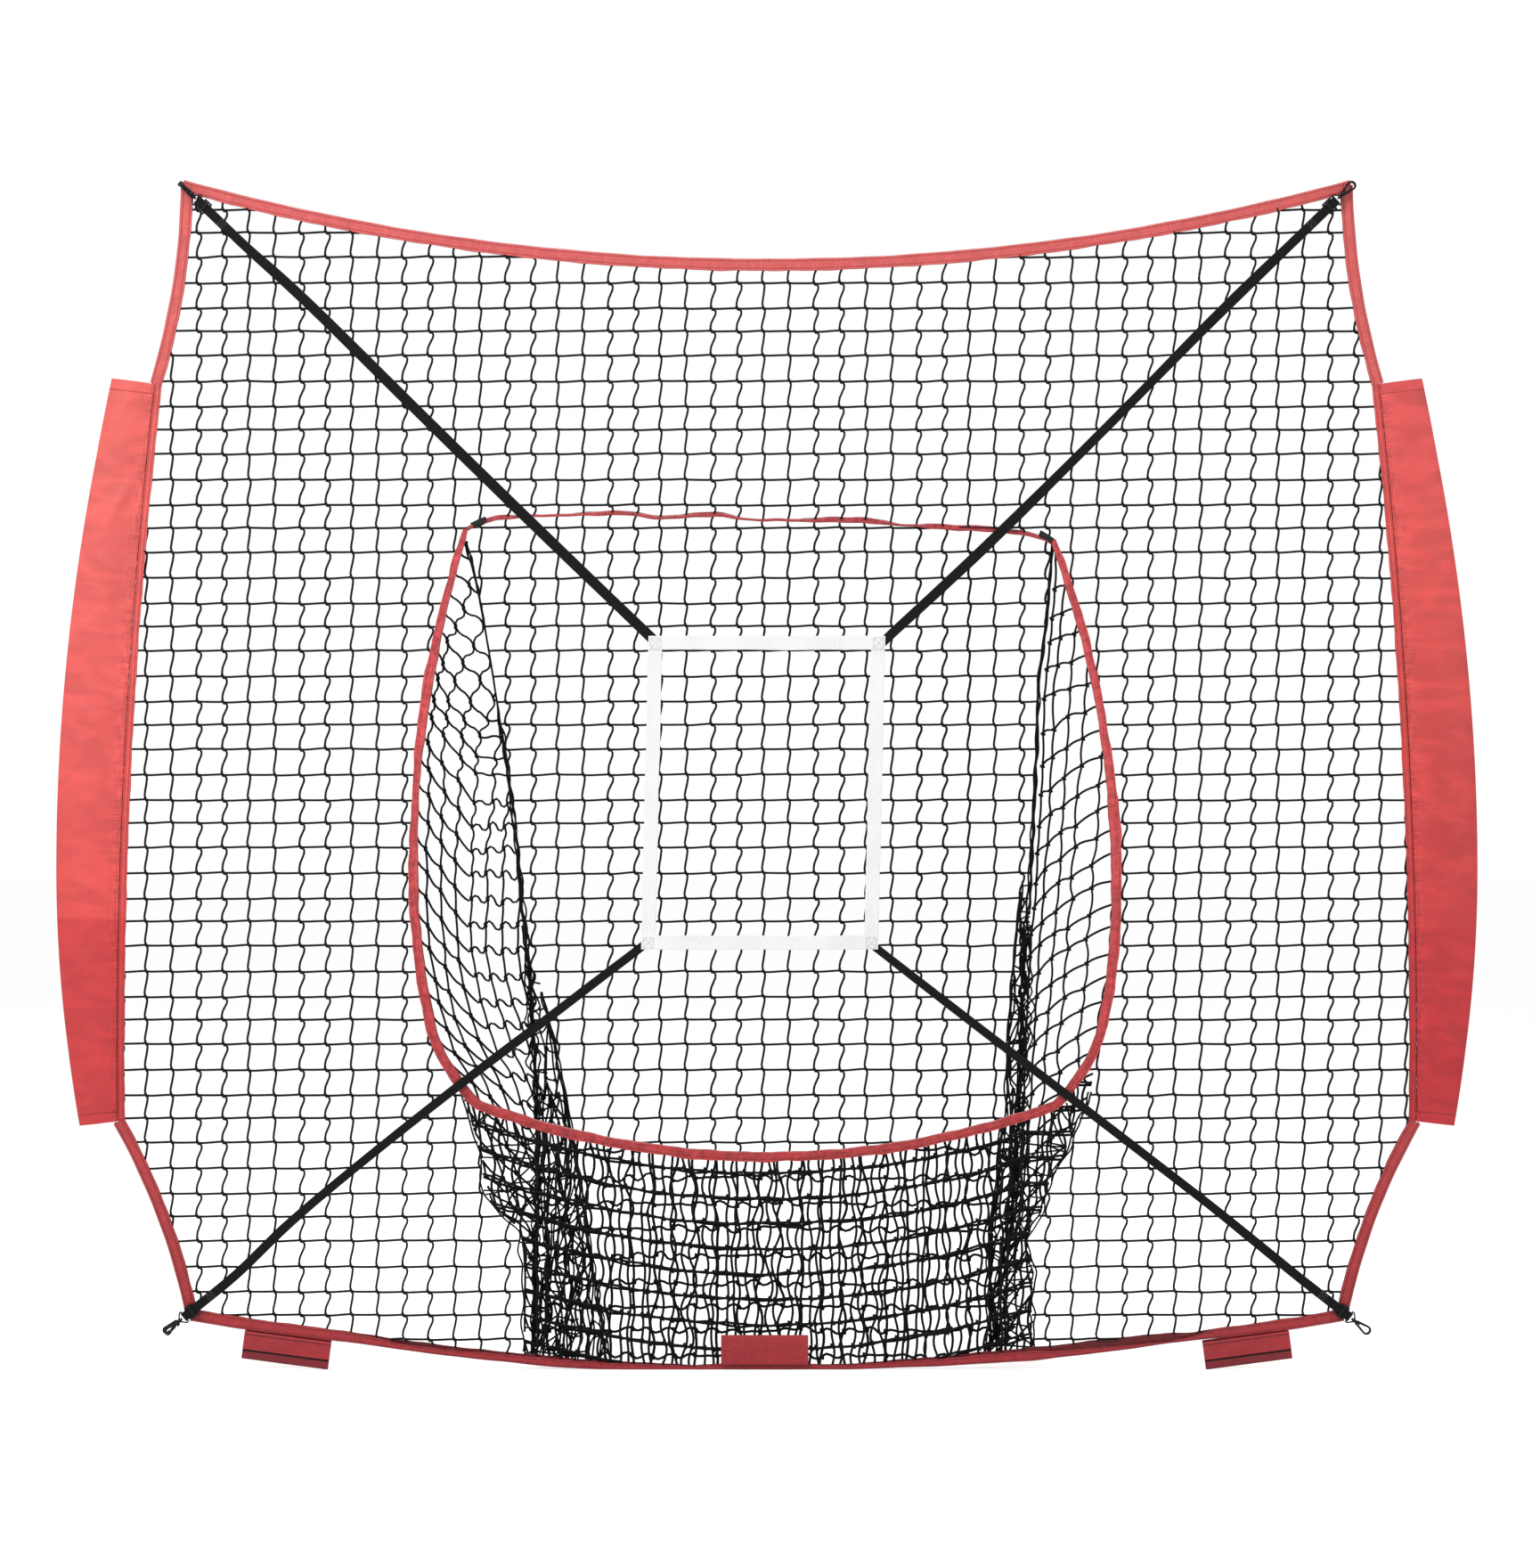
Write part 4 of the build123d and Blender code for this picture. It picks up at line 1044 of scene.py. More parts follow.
def cord(line, half_width, count, top, scale, seed):
    """Strands that lie side by side along a line, down to the hem, and cross one another."""
    rng = np.random.default_rng(seed)
    z = np.arange(top, 0.0, -0.006)
    runs = []
    for place in np.linspace(-1, 1, count):
        phase = rng.uniform(0, 2 * math.pi, 3)
        wave = rng.uniform(0.035, 0.10, 3)
        weave = sum(np.sin(2 * math.pi * z / w + p) for w, p in zip(wave, phase)) / 3
        across = half_width(z) * (0.75 * place + 0.9 * weave)
        swing = 0.5 * half_width(z) * np.cos(2 * math.pi * z / wave[0] + phase[0])
        deep = pocket_depth(z) * scale + swing
        flat = np.stack([line(z) + across, 0 * z, z], axis=-1)
        flat = flat[z > hem_low(flat[:, 0])]
        runs.append(pushed_back(flat, np.maximum(deep[:len(flat)], 0.002)))
    return runs

# %% The seams' cords
# half of a cord's width at each height: the seams as sewn, and where the gathers crowd in
slim = through([(0.0045, 1.50), (0.0040, 1.468), (0.0010, 1.450), (0.0018, 1.41), (0.0004, 1.39),
                (0.0016, 1.363), (0.0003, 1.34), (0.0003, 1.20), (0.0034, 1.145), (0.0024, 1.10),
                (0.0036, 0.98), (0.0034, 0.80), (0.0030, 0.0)])
stout = through([(0.0014, 1.50), (0.0022, 1.30), (0.0026, 1.10), (0.0034, 0.90), (0.004, 0.80),
                 (0.004, 0.0)])
bunched = {-1: through([(0.002, 0.86), (0.006, 0.72), (0.010, 0.58), (0.011, 0.42), (0.009, 0.30),
                        (0.005, 0.20), (0.005, 0.0)]),
           1: through([(0.004, 0.90), (0.008, 0.80), (0.009, 0.66), (0.009, 0.52), (0.012, 0.41),
                       (0.015, 0.32), (0.016, 0.26), (0.011, 0.20), (0.013, 0.14), (0.013, 0.0)])}
core = {-1: seam[-1],
        1: through([(0.467, 0.862), (0.4687, 0.798), (0.4687, 0.661), (0.4622, 0.525), (0.4558, 0.4125),
                    (0.4478, 0.324), (0.4494, 0.268), (0.4334, 0.204), (0.4189, 0.140), (0.4157, 0.027)])}
edge_half = through([(0.001, 0.90), (0.003, 0.50), (0.0045, 0.0)])
cord_radius = 0.0017
for side, word, thin in ((-1, "left", slim), (1, "right", stout)):
    runs = cord(seam[side], thin, 4, 1.492, 1.0, 40 + side)
    runs += cord(core[side], bunched[side], 3 if side < 0 else 5, 0.80, 0.9, 50 + side)
    runs += cord(gather_edge[side], edge_half, 3, 0.68 if side < 0 else 0.86, 0.85, 60 + side)
    runs += cord(flank[side], edge_half, 1 if side < 0 else 2, 0.50, 0.25, 70 + side)
    ropes = draw_twines(word + "_pocket_seam_cords", runs, cord_radius, twine_black)
    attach(ropes, "net")
    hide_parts(word + "_pocket_seam")
    print(word, "seam", len(runs), "twines")

deselect()
bpy.data.objects.remove(knot_model)

# %% [markdown]
# ## The red edge
# The net's edge is a tape of coated fabric, folded over the mesh and sewn through with two
# rows of stitches. It is built as that folded tape: a U-shaped section, 1.2 mm thick, set
# across the outline every few millimetres. Sewing gathers the cloth a little, so the tape
# puckers along its inner edge, and its width wanders by a millimetre or so.

# %% A mesh from points and faces


def make_mesh(name, points, faces, finish, uv=None):
    """A piece from its points and faces, with its faces outwards and its firm edges kept."""
    mesh = bpy.data.meshes.new(name)
    mesh.from_pydata(np.asarray(points).tolist(), [], faces)
    mesh.materials.append(finish)
    if uv is not None:
        layer = mesh.uv_layers.new(name="cloth")
        layer.data.foreach_set("uv", np.asarray(uv, "f").ravel())
    piece = bpy.data.objects.new(name, mesh)
    bpy.context.collection.objects.link(piece)
    pick(piece)
    bpy.ops.object.mode_set(mode="EDIT")
    bpy.ops.mesh.select_all(action="SELECT")
    bpy.ops.mesh.normals_make_consistent(inside=False)
    bpy.ops.object.mode_set(mode="OBJECT")
    bpy.ops.object.shade_smooth_by_angle(angle=math.radians(55))
    return piece

# %% A strip of cloth along a path


def strip(name, path, across, out, section, finish, lining=None):
    """Sets a closed section, given as (across, out) points, at every point of a path.
    The section may change along the path. Its second half may have a lining of its own."""
    path, across, out = (np.asarray(a, float) for a in (path, across, out))
    section = np.broadcast_to(np.asarray(section, float), (len(path),) + np.shape(section)[-2:])
    points = path[:, None] + section[..., :1] * across[:, None] + section[..., 1:] * out[:, None]
    n, m = points.shape[:2]
    along = np.r_[0, np.cumsum(np.linalg.norm(np.diff(path, axis=0), axis=1))]
    middle = section[n // 2]
    around = np.r_[0, np.cumsum(np.linalg.norm(middle - np.roll(middle, -1, axis=0), axis=1))]
    faces, uv = [], []
    for i in range(n - 1):
        for k in range(m):
            h = (k + 1) % m
            faces.append((i * m + k, i * m + h, i * m + m + h, i * m + m + k))
            uv += [(along[i], around[k]), (along[i], around[k + 1]), (along[i + 1], around[k + 1]),
                   (along[i + 1], around[k])]
    for i in (0, n - 1):
        faces.append([i * m + k for k in range(m)])
        uv += [(middle[k][0] + along[i], middle[k][1]) for k in range(m)]
    piece = make_mesh(name, points.reshape(-1, 3), faces, finish, uv)
    if lining:
        piece.data.materials.append(lining)
        kind = np.zeros(len(faces), int)
        kind[:-2].reshape(n - 1, m)[:, m // 2:-1] = 1
        piece.data.polygons.foreach_set("material_index", kind)
    return piece

# %% Paths in the plane of the net, and their ripples


def in_plane(line, y=0.0):
    """A line of (x, z) points in 3-D, with its direction across in the plane and out of it."""
    line = np.asarray(line, float)
    ahead = np.gradient(line, axis=0)
    ahead /= np.linalg.norm(ahead, axis=1, keepdims=True)
    path = np.c_[line[:, 0], np.full(len(line), y), line[:, 1]]
    across = np.c_[ahead[:, 1], np.zeros(len(line)), -ahead[:, 0]]
    return path, across, np.tile((0.0, -1.0, 0.0), (len(line), 1))


def evenly(line, step):
    """The same line with its points a fixed step apart."""
    line = np.asarray(line, float)
    along = np.r_[0, np.cumsum(np.linalg.norm(np.diff(line, axis=0), axis=1))]
    marks = np.linspace(0, along[-1], max(3, int(along[-1] / step) + 1))
    return np.c_[[np.interp(marks, along, line[:, k]) for k in range(line.shape[1])]].T


def ripple(s, lengths, rng):
    """A wandering curve: waves of several lengths with random starts, within -1 and 1."""
    return sum(np.sin(2 * math.pi * s / w + rng.uniform(0, 7)) for w in lengths) / len(lengths)

# %% The section of a folded tape
tape_step = 0.004             # a tape gets a section this often along its line


def folded_tape(width, count, pucker, seed, slipped=0.0, thick=0.0012, gap=0.0025):
    """U-shaped sections of a tape folded over the net; its open side is at -width / 2.
    Puckers are strongest beside the stitches, and die out at the fold. Where its front has
    slipped, the inside of its back shows over it."""
    rng = np.random.default_rng(seed)
    s = np.linspace(0, 1, count)[:, None] * count * tape_step
    half = np.broadcast_to(np.asarray(width, float).reshape(-1, 1), (count, 1)) / 2
    spread = np.array([-1, -0.72, -0.4, 0.0, 0.45, 0.8])     # from the open side to the fold
    puff = np.array([0.7, -0.5, 1.0, 0.8, 0.5, 0.2])         # how much each point puckers
    waves = [0.011, 0.017, 0.026, 0.041]
    front = gap + thick + pucker * (0.5 + puff * np.hstack([ripple(s, waves, rng) for _ in spread]))
    back = gap + thick + pucker * (0.5 + puff * np.hstack([ripple(s, waves, rng) for _ in spread]))
    edge = half * spread + np.array([1, 0.3, 0, 0, 0, 0]) * 0.0009 * ripple(s, [0.05, 0.11, 0.2], rng)
    fore = half - (half - edge) * (1 - np.broadcast_to(np.reshape(slipped, (-1, 1)), (count, 1)))
    outer = np.stack([np.hstack([fore, half, edge[:, ::-1]]),
                      np.hstack([front, 0 * half, -back[:, ::-1]])], axis=-1)
    inner = np.stack([np.hstack([fore, half - thick, edge[:, ::-1]])[:, ::-1],
                      np.hstack([front - thick, 0 * half, -(back - thick)[:, ::-1]])[:, ::-1]], axis=-1)
    return np.concatenate([outer, inner], axis=1)


# %% [markdown]
# ## Stitches
# A stitch is a short stretch of thread that bulges between two needle holes. Some ten
# thousand of them hold this net, so each is a flattened ball of twenty faces, modelled once
# and copied to its place and direction in every row.

# %% A stitch
deselect()
bpy.ops.mesh.primitive_ico_sphere_add(subdivisions=1, radius=1)
stitch_model = bpy.context.object
bpy.ops.transform.resize(value=(0.0021, 0.0007, 0.0014))
bpy.ops.object.transform_apply(location=False, rotation=False, scale=True)
print("stitch", [round(size * 1000, 1) for size in stitch_model.dimensions], "mm")

# %% Rows of stitches
stitch_lift, cloth_lift = 0.0003, 0.0008      # how high stitches stand on a tape, on a cloth


def stitch_frames(line, shift, out, spacing=0.0045):
    """Frames for a row of stitches beside a line, on its front (out = 1) or back (-1).
    shift is how far beside the line and how high they are, each one value or one a point."""
    path, across, front = in_plane(evenly(line, spacing))
    ahead = np.cross(across, front)
    marks = np.linspace(0, 1, len(path))
    beside, lifted = (np.interp(marks, np.linspace(0, 1, np.size(part)), np.reshape(part, -1))
                      for part in shift)
    spots = path + across * beside[:, None] + front * (out * lifted)[:, None]
    return np.stack([ahead, front * out, across, spots], axis=1)


# %% The hems' lines
half_edge = 0.0037            # from the net's middle to the face of its edge
hem_rows = [-0.0068, 0.0062]  # where the two rows of stitches run beside the hem's middle
stitches = []
upper_pair, sleeve_pair, lower_pair = ({-1: line * mirrored, 1: line}
                                       for line in (upper_side, sleeve_side, lower_side))
# a hem's line, the side its fold is on and how much it puckers
hem_lines = {"top_hem": (top_edge, -1, 0.0006), "bottom_hem": (bottom_edge, 1, 0.0010)}
for side, word in ((-1, "left"), (1, "right")):
    hem_lines[word + "_upper_hem"] = (upper_pair[side], -side, 0.0005)
    hem_lines[word + "_lower_hem"] = (lower_pair[side], -side, 0.0006)
# the hems of the top corners run on over one another; the others just meet
hem_overlap = {"top_hem": (0.008, 0.008), "left_upper_hem": (0.003, 0),
               "right_upper_hem": (0.003, 0)}
hem_meeting = (0.0001, 0.0001)
print("hems:", ", ".join(hem_lines))

# %% Hems
for seed, (name, (line, turn, pucker)) in enumerate(hem_lines.items()):
    ends = [line[i] + (line[i] - line[j]) / np.linalg.norm(line[i] - line[j]) * over
            for i, j, over in zip((0, -1), (1, -2), hem_overlap.get(name, hem_meeting))]
    line = evenly(np.vstack([ends[:1], line, ends[1:]]), tape_step)
    path, across, out = in_plane(line)
    width = edge_width + 0.0012 * ripple(np.arange(len(line)) * tape_step, [0.09, 0.21, 0.4],
                                         np.random.default_rng(seed + 90))
    slipped = np.zeros(len(line))
    if name == "bottom_hem":
        width *= np.interp(line[:, 0], bottom_edge[:, 0], hem_width) / edge_width
        slipped = np.interp(line[:, 0], bottom_edge[:, 0], slip)
    # the snap hooks lie on the top corners and press them flat
    from_corner = np.hypot(abs(line[:, 0]) - top_corner[0], line[:, 1] - top_corner[1])
    pressed = np.interp(from_corner, [0.03, 0.08], [0.6, 1])
    sections = folded_tape(width, len(line), pucker, seed, slipped) * np.stack(
        [np.ones(len(line)), pressed], axis=-1)[:, None]
    hem = strip(name + "_tape", path, across * turn, out, sections, red_fabric, red_inside_painted_shade)
    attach(hem, "net")
    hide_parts(name)
    length = len(line) * tape_step
    for row in hem_rows:
        for face in (1, -1):
            beside = row * width / edge_width
            if face > 0:
                beside = width / 2 - (width / 2 - beside) * (1 - slipped)
            stitches.append(stitch_frames(
                line, (beside * turn, half_edge * pressed + stitch_lift), face))
    print(name, "tape", round(length, 2), "m")

# %% [markdown]
# ## The mouth
# The mouth's sides and bottom are bound with the same red cloth, gathered as it was sewn
# round the curve, so it is lumpy. Its top is only a narrow ribbon that has rolled and
# twisted on itself. Black tape is wound round both where they meet at the top corners.

# %% Binding round the mouth
mouth_line = evenly(np.vstack([mouth_top[:1], mouth_side(-1), mouth_bottom[1:],
                               mouth_side(1)[::-1][1:-1]]), tape_step)
count = len(mouth_line)
s = np.arange(count) * tape_step
rng = np.random.default_rng(7)
binding_width = {
    -1: through([(0.009, 1.51), (0.013, 1.45), (0.015, 1.35), (0.018, 1.25), (0.017, 1.15),
                 (0.0125, 1.04), (0.016, 0.95), (0.018, 0.85), (0.0185, 0.70), (0.0185, 0.38)]),
    1: through([(0.009, 1.50), (0.013, 1.46), (0.015, 1.36), (0.015, 1.20), (0.018, 1.05),
                (0.0205, 0.98), (0.019, 0.85), (0.018, 0.65), (0.017, 0.50), (0.018, 0.38)])}
width = np.where(mouth_line[:, 0] < 0, *(binding_width[side](mouth_line[:, 1]) for side in (-1, 1)))
width = width * (1 + 0.09 * ripple(s, [0.031, 0.055, 0.12, 0.3], rng))
path, across, out = in_plane(mouth_line)
wobble = 0.0012 * ripple(s, [0.07, 0.13, 0.29], rng)
binding = strip("mouth_binding_tape", path + across * wobble[:, None], -across, out,
                folded_tape(width, count, 0.0016, 8), red_gathered, red_inside_painted_shade)
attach(binding, "net")
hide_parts("mouth_binding")
for face in (1, -1):
    stitches.append(stitch_frames(mouth_line[20:-20], (0.0042, half_edge + 0.0007), face, tape_step))
print("binding", round(float(s[-1]), 2), "m")

# %% Twisting ribbon along the top of the mouth
ribbon_step, ribbon_half, ribbon_thick = 0.003, 0.0055, 0.0017
ribbon_line = evenly(mouth_top, ribbon_step)
s = np.arange(len(ribbon_line)) * ribbon_step
ribbon_line = ribbon_line + np.c_[0 * s, 0.0008 * ripple(s, [0.05, 0.09], rng)]
path, across, out = in_plane(ribbon_line)
# it is 11 mm wide, but shows less of itself wherever it turns edgewise: where, and how many
# millimetres
seen_wide = np.array([
    (-0.51, 8), (-0.47, 9), (-0.44, 4.5), (-0.40, 4), (-0.36, 6), (-0.30, 7), (-0.27, 9), (-0.22, 8),
    (-0.18, 7), (-0.14, 8), (-0.10, 9.5), (-0.06, 8), (-0.03, 3), (0.0, 4), (0.05, 5), (0.12, 11),
    (0.18, 11), (0.24, 4.5), (0.27, 4.5), (0.29, 10), (0.36, 11), (0.45, 10), (0.50, 7)])
half_seen = np.interp(ribbon_line[:, 0], seen_wide[:, 0], seen_wide[:, 1]) * 0.0005
half_ribbon = ribbon_half * (1 + 0.08 * ripple(s, [0.05, 0.12], rng))
turns = (np.arccos(np.clip(half_seen / half_ribbon, 0.25, 1))
         + 0.15 * ripple(s, [0.10, 0.17], rng))
roll = np.stack([np.cos(turns), np.sin(turns)], axis=1)
flat_way = across * roll[:, :1] + out * roll[:, 1:]
thick_way = out * roll[:, :1] - across * roll[:, 1:]
angles = np.linspace(0, 2 * math.pi, 12, endpoint=False)
section = np.stack([half_ribbon[:, None] * np.cos(angles), ribbon_thick * np.sin(angles)
                    + 0.0008 * np.sin(2 * angles) + 0 * half_ribbon[:, None]], axis=-1)
ribbon = strip("mouth_top_ribbon_rolled", path, flat_way, thick_way, section, red_rolled)
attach(ribbon, "net")
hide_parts("mouth_top_ribbon")
print("ribbon", round(float(s[-1]), 2), "m")

# %% Black tape wound round the corners of the mouth
wrap_long, wrap_turns, wrap_points = 0.026, 6.5, 220
wrap_tall, wrap_deep = 0.0062, 0.0058         # how far the tape is from the wrap's middle
# the tape's section: 5.6 mm wide and a little fuller on its outside
tape = [(-0.0028, 0), (-0.0026, 0.0003), (0, 0.0005), (0.0026, 0.0003), (0.0028, 0),
        (0.0026, -0.0003), (0, -0.0003), (-0.0026, -0.0003)]
for word, spot, slope in (("left", (-0.5180, 0, 1.5253), 24), ("right", (0.5035, 0, 1.4985), -32)):
    slope = math.radians(slope)
    turns = np.linspace(0, 1, wrap_points)
    along = (turns - 0.5) * wrap_long
    angle = turns * 2 * math.pi * wrap_turns
    ahead = np.array([math.cos(slope), 0, math.sin(slope)])
    upward = np.array([-math.sin(slope), 0, math.cos(slope)])
    outward = (np.cos(angle)[:, None] * upward * wrap_tall
               + np.sin(angle)[:, None] * np.array([0, 1.0, 0]) * wrap_deep)
    slimmer = 1 - 0.15 * np.abs(along[:, None]) / wrap_long
    path = np.array(spot) + along[:, None] * ahead + outward * slimmer
    out = outward / np.linalg.norm(outward, axis=1, keepdims=True)
    wrap = strip(word + "_mouth_wrap_tape", path, np.tile(ahead, (wrap_points, 1)), out, tape,
                 black_tape)
    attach(wrap, "net")
    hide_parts(word + "_mouth_wrap")
    print(word, "wrap", wrap_turns, "turns")

# %% [markdown]
# ## Pole sleeves
# Each side has a fabric sleeve, 1.3 m long, that slides over a pole: a cloth folded double
# and sewn to the side edge. Empty, it lies nearly flat and keeps the soft slanting creases
# of its packing. Cloth simulation could drape it, but nothing holds it up here except its
# stitched edge, so a grid is wrapped to the sleeve's shape. Its deeper creases are pressed
# in with a few dozen soft ridges, and the faint ones are in the cloth's finish, as painted
# shade and highlights with a little relief.

# %% A cloth made from a grid


def cloth_grid(name, cells, surface, flat, thick, finish):
    """Adds a grid, lays it on surface(a, b) with a and b from 0 to 1, and gives it thickness."""
    deselect()
    bpy.ops.mesh.primitive_grid_add(x_subdivisions=cells[0], y_subdivisions=cells[1], size=1)
    piece = bpy.context.object
    piece.name = name
    mesh = piece.data
    co = np.zeros(len(mesh.vertices) * 3)
    mesh.vertices.foreach_get("co", co)
    co = co.reshape(-1, 3) + 0.5
    mesh.vertices.foreach_set("co", surface(co[:, 0], co[:, 1]).ravel())
    uv = mesh.uv_layers.active.data
    spots = np.zeros(len(uv) * 2)
    uv.foreach_get("uv", spots)
    uv.foreach_set("uv", (spots.reshape(-1, 2) * flat).ravel())
    wall = piece.modifiers.new("wall", "SOLIDIFY")
    wall.thickness = thick
    wall.offset = 0
    bpy.ops.object.modifier_apply(modifier="wall")
    bpy.ops.object.shade_smooth_by_angle(angle=math.radians(60))
    mesh.materials.append(finish)
    return piece


# %% The shape of a sleeve
sleeve_low, sleeve_high = hip[1], shoulder[1]
sleeve_cut = (0.25, 1.33)     # its cloth, before it is folded double
end_row = 0.0135              # where its ends are sewn, as a share of its length
sleeve_out, widest_at = 1.280, 0.9            # how far out its fold bows, and at what height


def sleeve_start(z):
    """Where the sleeve begins, beside its seam."""
    return np.interp(z, sleeve_side[::-1, 1], sleeve_side[::-1, 0]) + 0.0026


def sleeve_fold(z):
    """The bowed outer fold, which draws in by 100 mm at its top and by 42 mm at its foot."""
    high = sleeve_out - 0.100 * np.clip((z - widest_at) / 0.875, 0, 1) ** 2
    low = sleeve_out - 0.042 * np.clip((widest_at - z) / 0.453, 0, 1) ** 2
    return np.where(z > widest_at, high, low)


def sleeve_surface(side, seed):
    """The surface of one sleeve, with ridges of its own: soft, slanting and at random."""
    rng = np.random.default_rng(seed)
    ridges = [(rng.uniform(0, 1), rng.uniform(-0.1, 1.1), rng.uniform(0.25, 1.1) * rng.choice([-1, 1]),
               rng.uniform(0.03, 0.10), rng.uniform(0.005, 0.016), rng.uniform(0.0012, 0.0032),
               rng.choice([-1, 1])) for _ in range(54)]

    def surface(a, b):
        """a runs round the sleeve from seam to seam, b runs up it."""
        q = 0.5 - 0.5 * np.cos(2 * math.pi * a)
        face = np.where(a < 0.5, -1.0, 1.0)
        z = sleeve_low + (sleeve_high - sleeve_low) * b
        inner, outer = sleeve_start(z), sleeve_fold(z)
        x = inner + (outer - inner) * q
        y = 0.0032 * (1 - q) + 0.0085 * np.sin(math.pi * np.clip(q, 0, 1)) ** 0.8
        y = y * (1 + 0.25 * np.sin(z * 5.1 + 2 * side))
        soft = np.sin(math.pi * np.clip(q, 0.001, 0.999)) ** 0.6
        for z_mid, q_mid, angle, long, wide, high, front in ridges:
            du = (q - q_mid) * 0.115
            dv = (b - z_mid) * sleeve_cut[1]
            along = du * math.cos(angle) + dv * math.sin(angle)
            off = -du * math.sin(angle) + dv * math.cos(angle)
            ridge = np.exp(-(off / wide) ** 2 - (along / long) ** 2)
            y = y + np.where(face == -front, 1.0, 0.0) * high * ridge * soft
        gather = 0.0016 * np.sin(z * 2 * math.pi / 0.017 + 2 * np.sin(z * 23)) * np.exp(-q * 9)
        y = np.maximum(y + gather, 0.0012 * np.sqrt(np.clip(1 - q, 0, 1)))
        hem = np.clip((0.018 - np.minimum(b, 1 - b) * 1.328) / 0.002, 0, 1)
        y = y + 0.0007 * hem * soft
        z = z + 0.010 * q * np.clip((b - 0.9) / 0.1, 0, 1) - 0.008 * q * np.clip((0.1 - b) / 0.1, 0, 1)
        return np.stack([side * x, face * y, z], axis=-1)
    return surface

# %% The sleeves
for side, word in ((-1, "left"), (1, "right")):
    surface = sleeve_surface(side, 11 + side)
    sleeve = cloth_grid(word + "_sleeve_cloth", (56, 190), surface, sleeve_cut, 0.0012,
                        red_sleeve[side])
    if side > 0:
        # it is the left one mirrored, which turned its faces inwards
        pick(sleeve)
        bpy.ops.object.mode_set(mode="EDIT")
        bpy.ops.mesh.select_all(action="SELECT")
        bpy.ops.mesh.flip_normals()
        bpy.ops.object.mode_set(mode="OBJECT")
    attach(sleeve, "net")
    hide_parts(word + "_pole_sleeve")
    # a row of stitches across each end, 18 mm in, on both faces
    for level in (end_row, 1 - end_row):
        for low_a, high_a in ((0.04, 0.46), (0.54, 0.96)):
            a = np.linspace(low_a, high_a, 24)
            line = surface(a, np.full(24, level))
            ahead = np.gradient(line, axis=0)
            ahead /= np.linalg.norm(ahead, axis=1, keepdims=True)
            face = np.tile((0.0, -1.0 if high_a < 0.5 else 1.0, 0.0), (24, 1))
            spots = line + face * cloth_lift
            stitches.append(np.stack([ahead, face, np.cross(ahead, face), spots], axis=1))
    line = evenly(sleeve_pair[side], tape_step)
    path, across, out = in_plane(line)
    seam_tape = strip(word + "_sleeve_seam_tape", path + across * side * 0.0045, -side * across, out,
                      folded_tape(0.013, len(line), 0.0005, 30 + side), red_sleeve[side])
    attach(seam_tape, "net")
    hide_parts(word + "_sleeve_seam")
    for offset in (0.0078, 0.0012):
        for face in (1, -1):
            stitches.append(stitch_frames(line, (side * offset, half_edge + stitch_lift), face))
    print(word, "sleeve", [round(float(size), 3) for size in sleeve.dimensions], "m")

# %% All the stitches of the edge
thread = strew("edge_stitches", stitch_model, np.concatenate(stitches), red_thread_painted_shade)
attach(thread, "net")
print("stitches", sum(len(row) for row in stitches))

# %% [markdown]
# ## Loops for the base tube
# Three short cloth loops hang from the lower edge. Each is one piece of cloth sewn round
# into a tunnel, with a flap in front that a strip of hook-and-loop tape closes. The middle
# loop is turned up in front of the net. The flaps and the loops swing, so each is its own
# piece, laid along its own section in the loop's frame and then put in its place.

# %% Where the loops hang, and the paths of their cloths
# the lower edge is an arc that rises 95 mm to its corners, and half an edge wider outside
edge_rise, half_width, loop_out = 0.095, 0.011, 0.862
circle_radius = (foot_corner[0] ** 2 + edge_rise ** 2) / (2 * edge_rise)
hem_under = half_width + circle_radius - math.sqrt((circle_radius + half_width) ** 2 - loop_out ** 2)
tilt = math.radians(7.5)
loop_cut, loop_seen = 0.158, 0.157            # the cloths' width as cut, and between their edges
# place, turn in the net's plane, and 1 for hanging or -1 for turned up
loop_places = {"left": (-loop_out, 0.0, hem_under - 0.0022, tilt, 1),
               "right": (loop_out, 0.0, hem_under - 0.0022, -tilt, 1),
               "middle": (-0.004, -0.0098, 0.0090, 0.0, -1)}
# sections of (y, z) points: round the tunnel, and down the flap in front of it
loop_path = evenly([(-0.0035, -0.0205), (-0.0036, -0.036), (-0.0035, -0.0515), (-0.0022, -0.0531),
                    (0.0022, -0.0531), (0.0035, -0.0515), (0.0037, -0.030), (0.0035, -0.002),
                    (0.0026, -0.0008), (-0.0026, -0.0008)], 0.0022)
flap_path = evenly([(-0.0030, -0.0042), (-0.0056, -0.0041), (-0.0063, -0.0052), (-0.0064, -0.018),
                    (-0.0063, -0.0358)], 0.0018)
print("loops hang", round(hem_under * 1000, 1), "mm up")

# %% A cloth laid along its path


def hung(place, x, y, z):
    """Points of a loop's own frame, put where the loop hangs."""
    x0, y0, z0, turn, up = place
    y, z = y * up, z * up
    return (x0 + x * math.cos(turn) + z * math.sin(turn), y0 + y,
            z0 - x * math.sin(turn) + z * math.cos(turn))


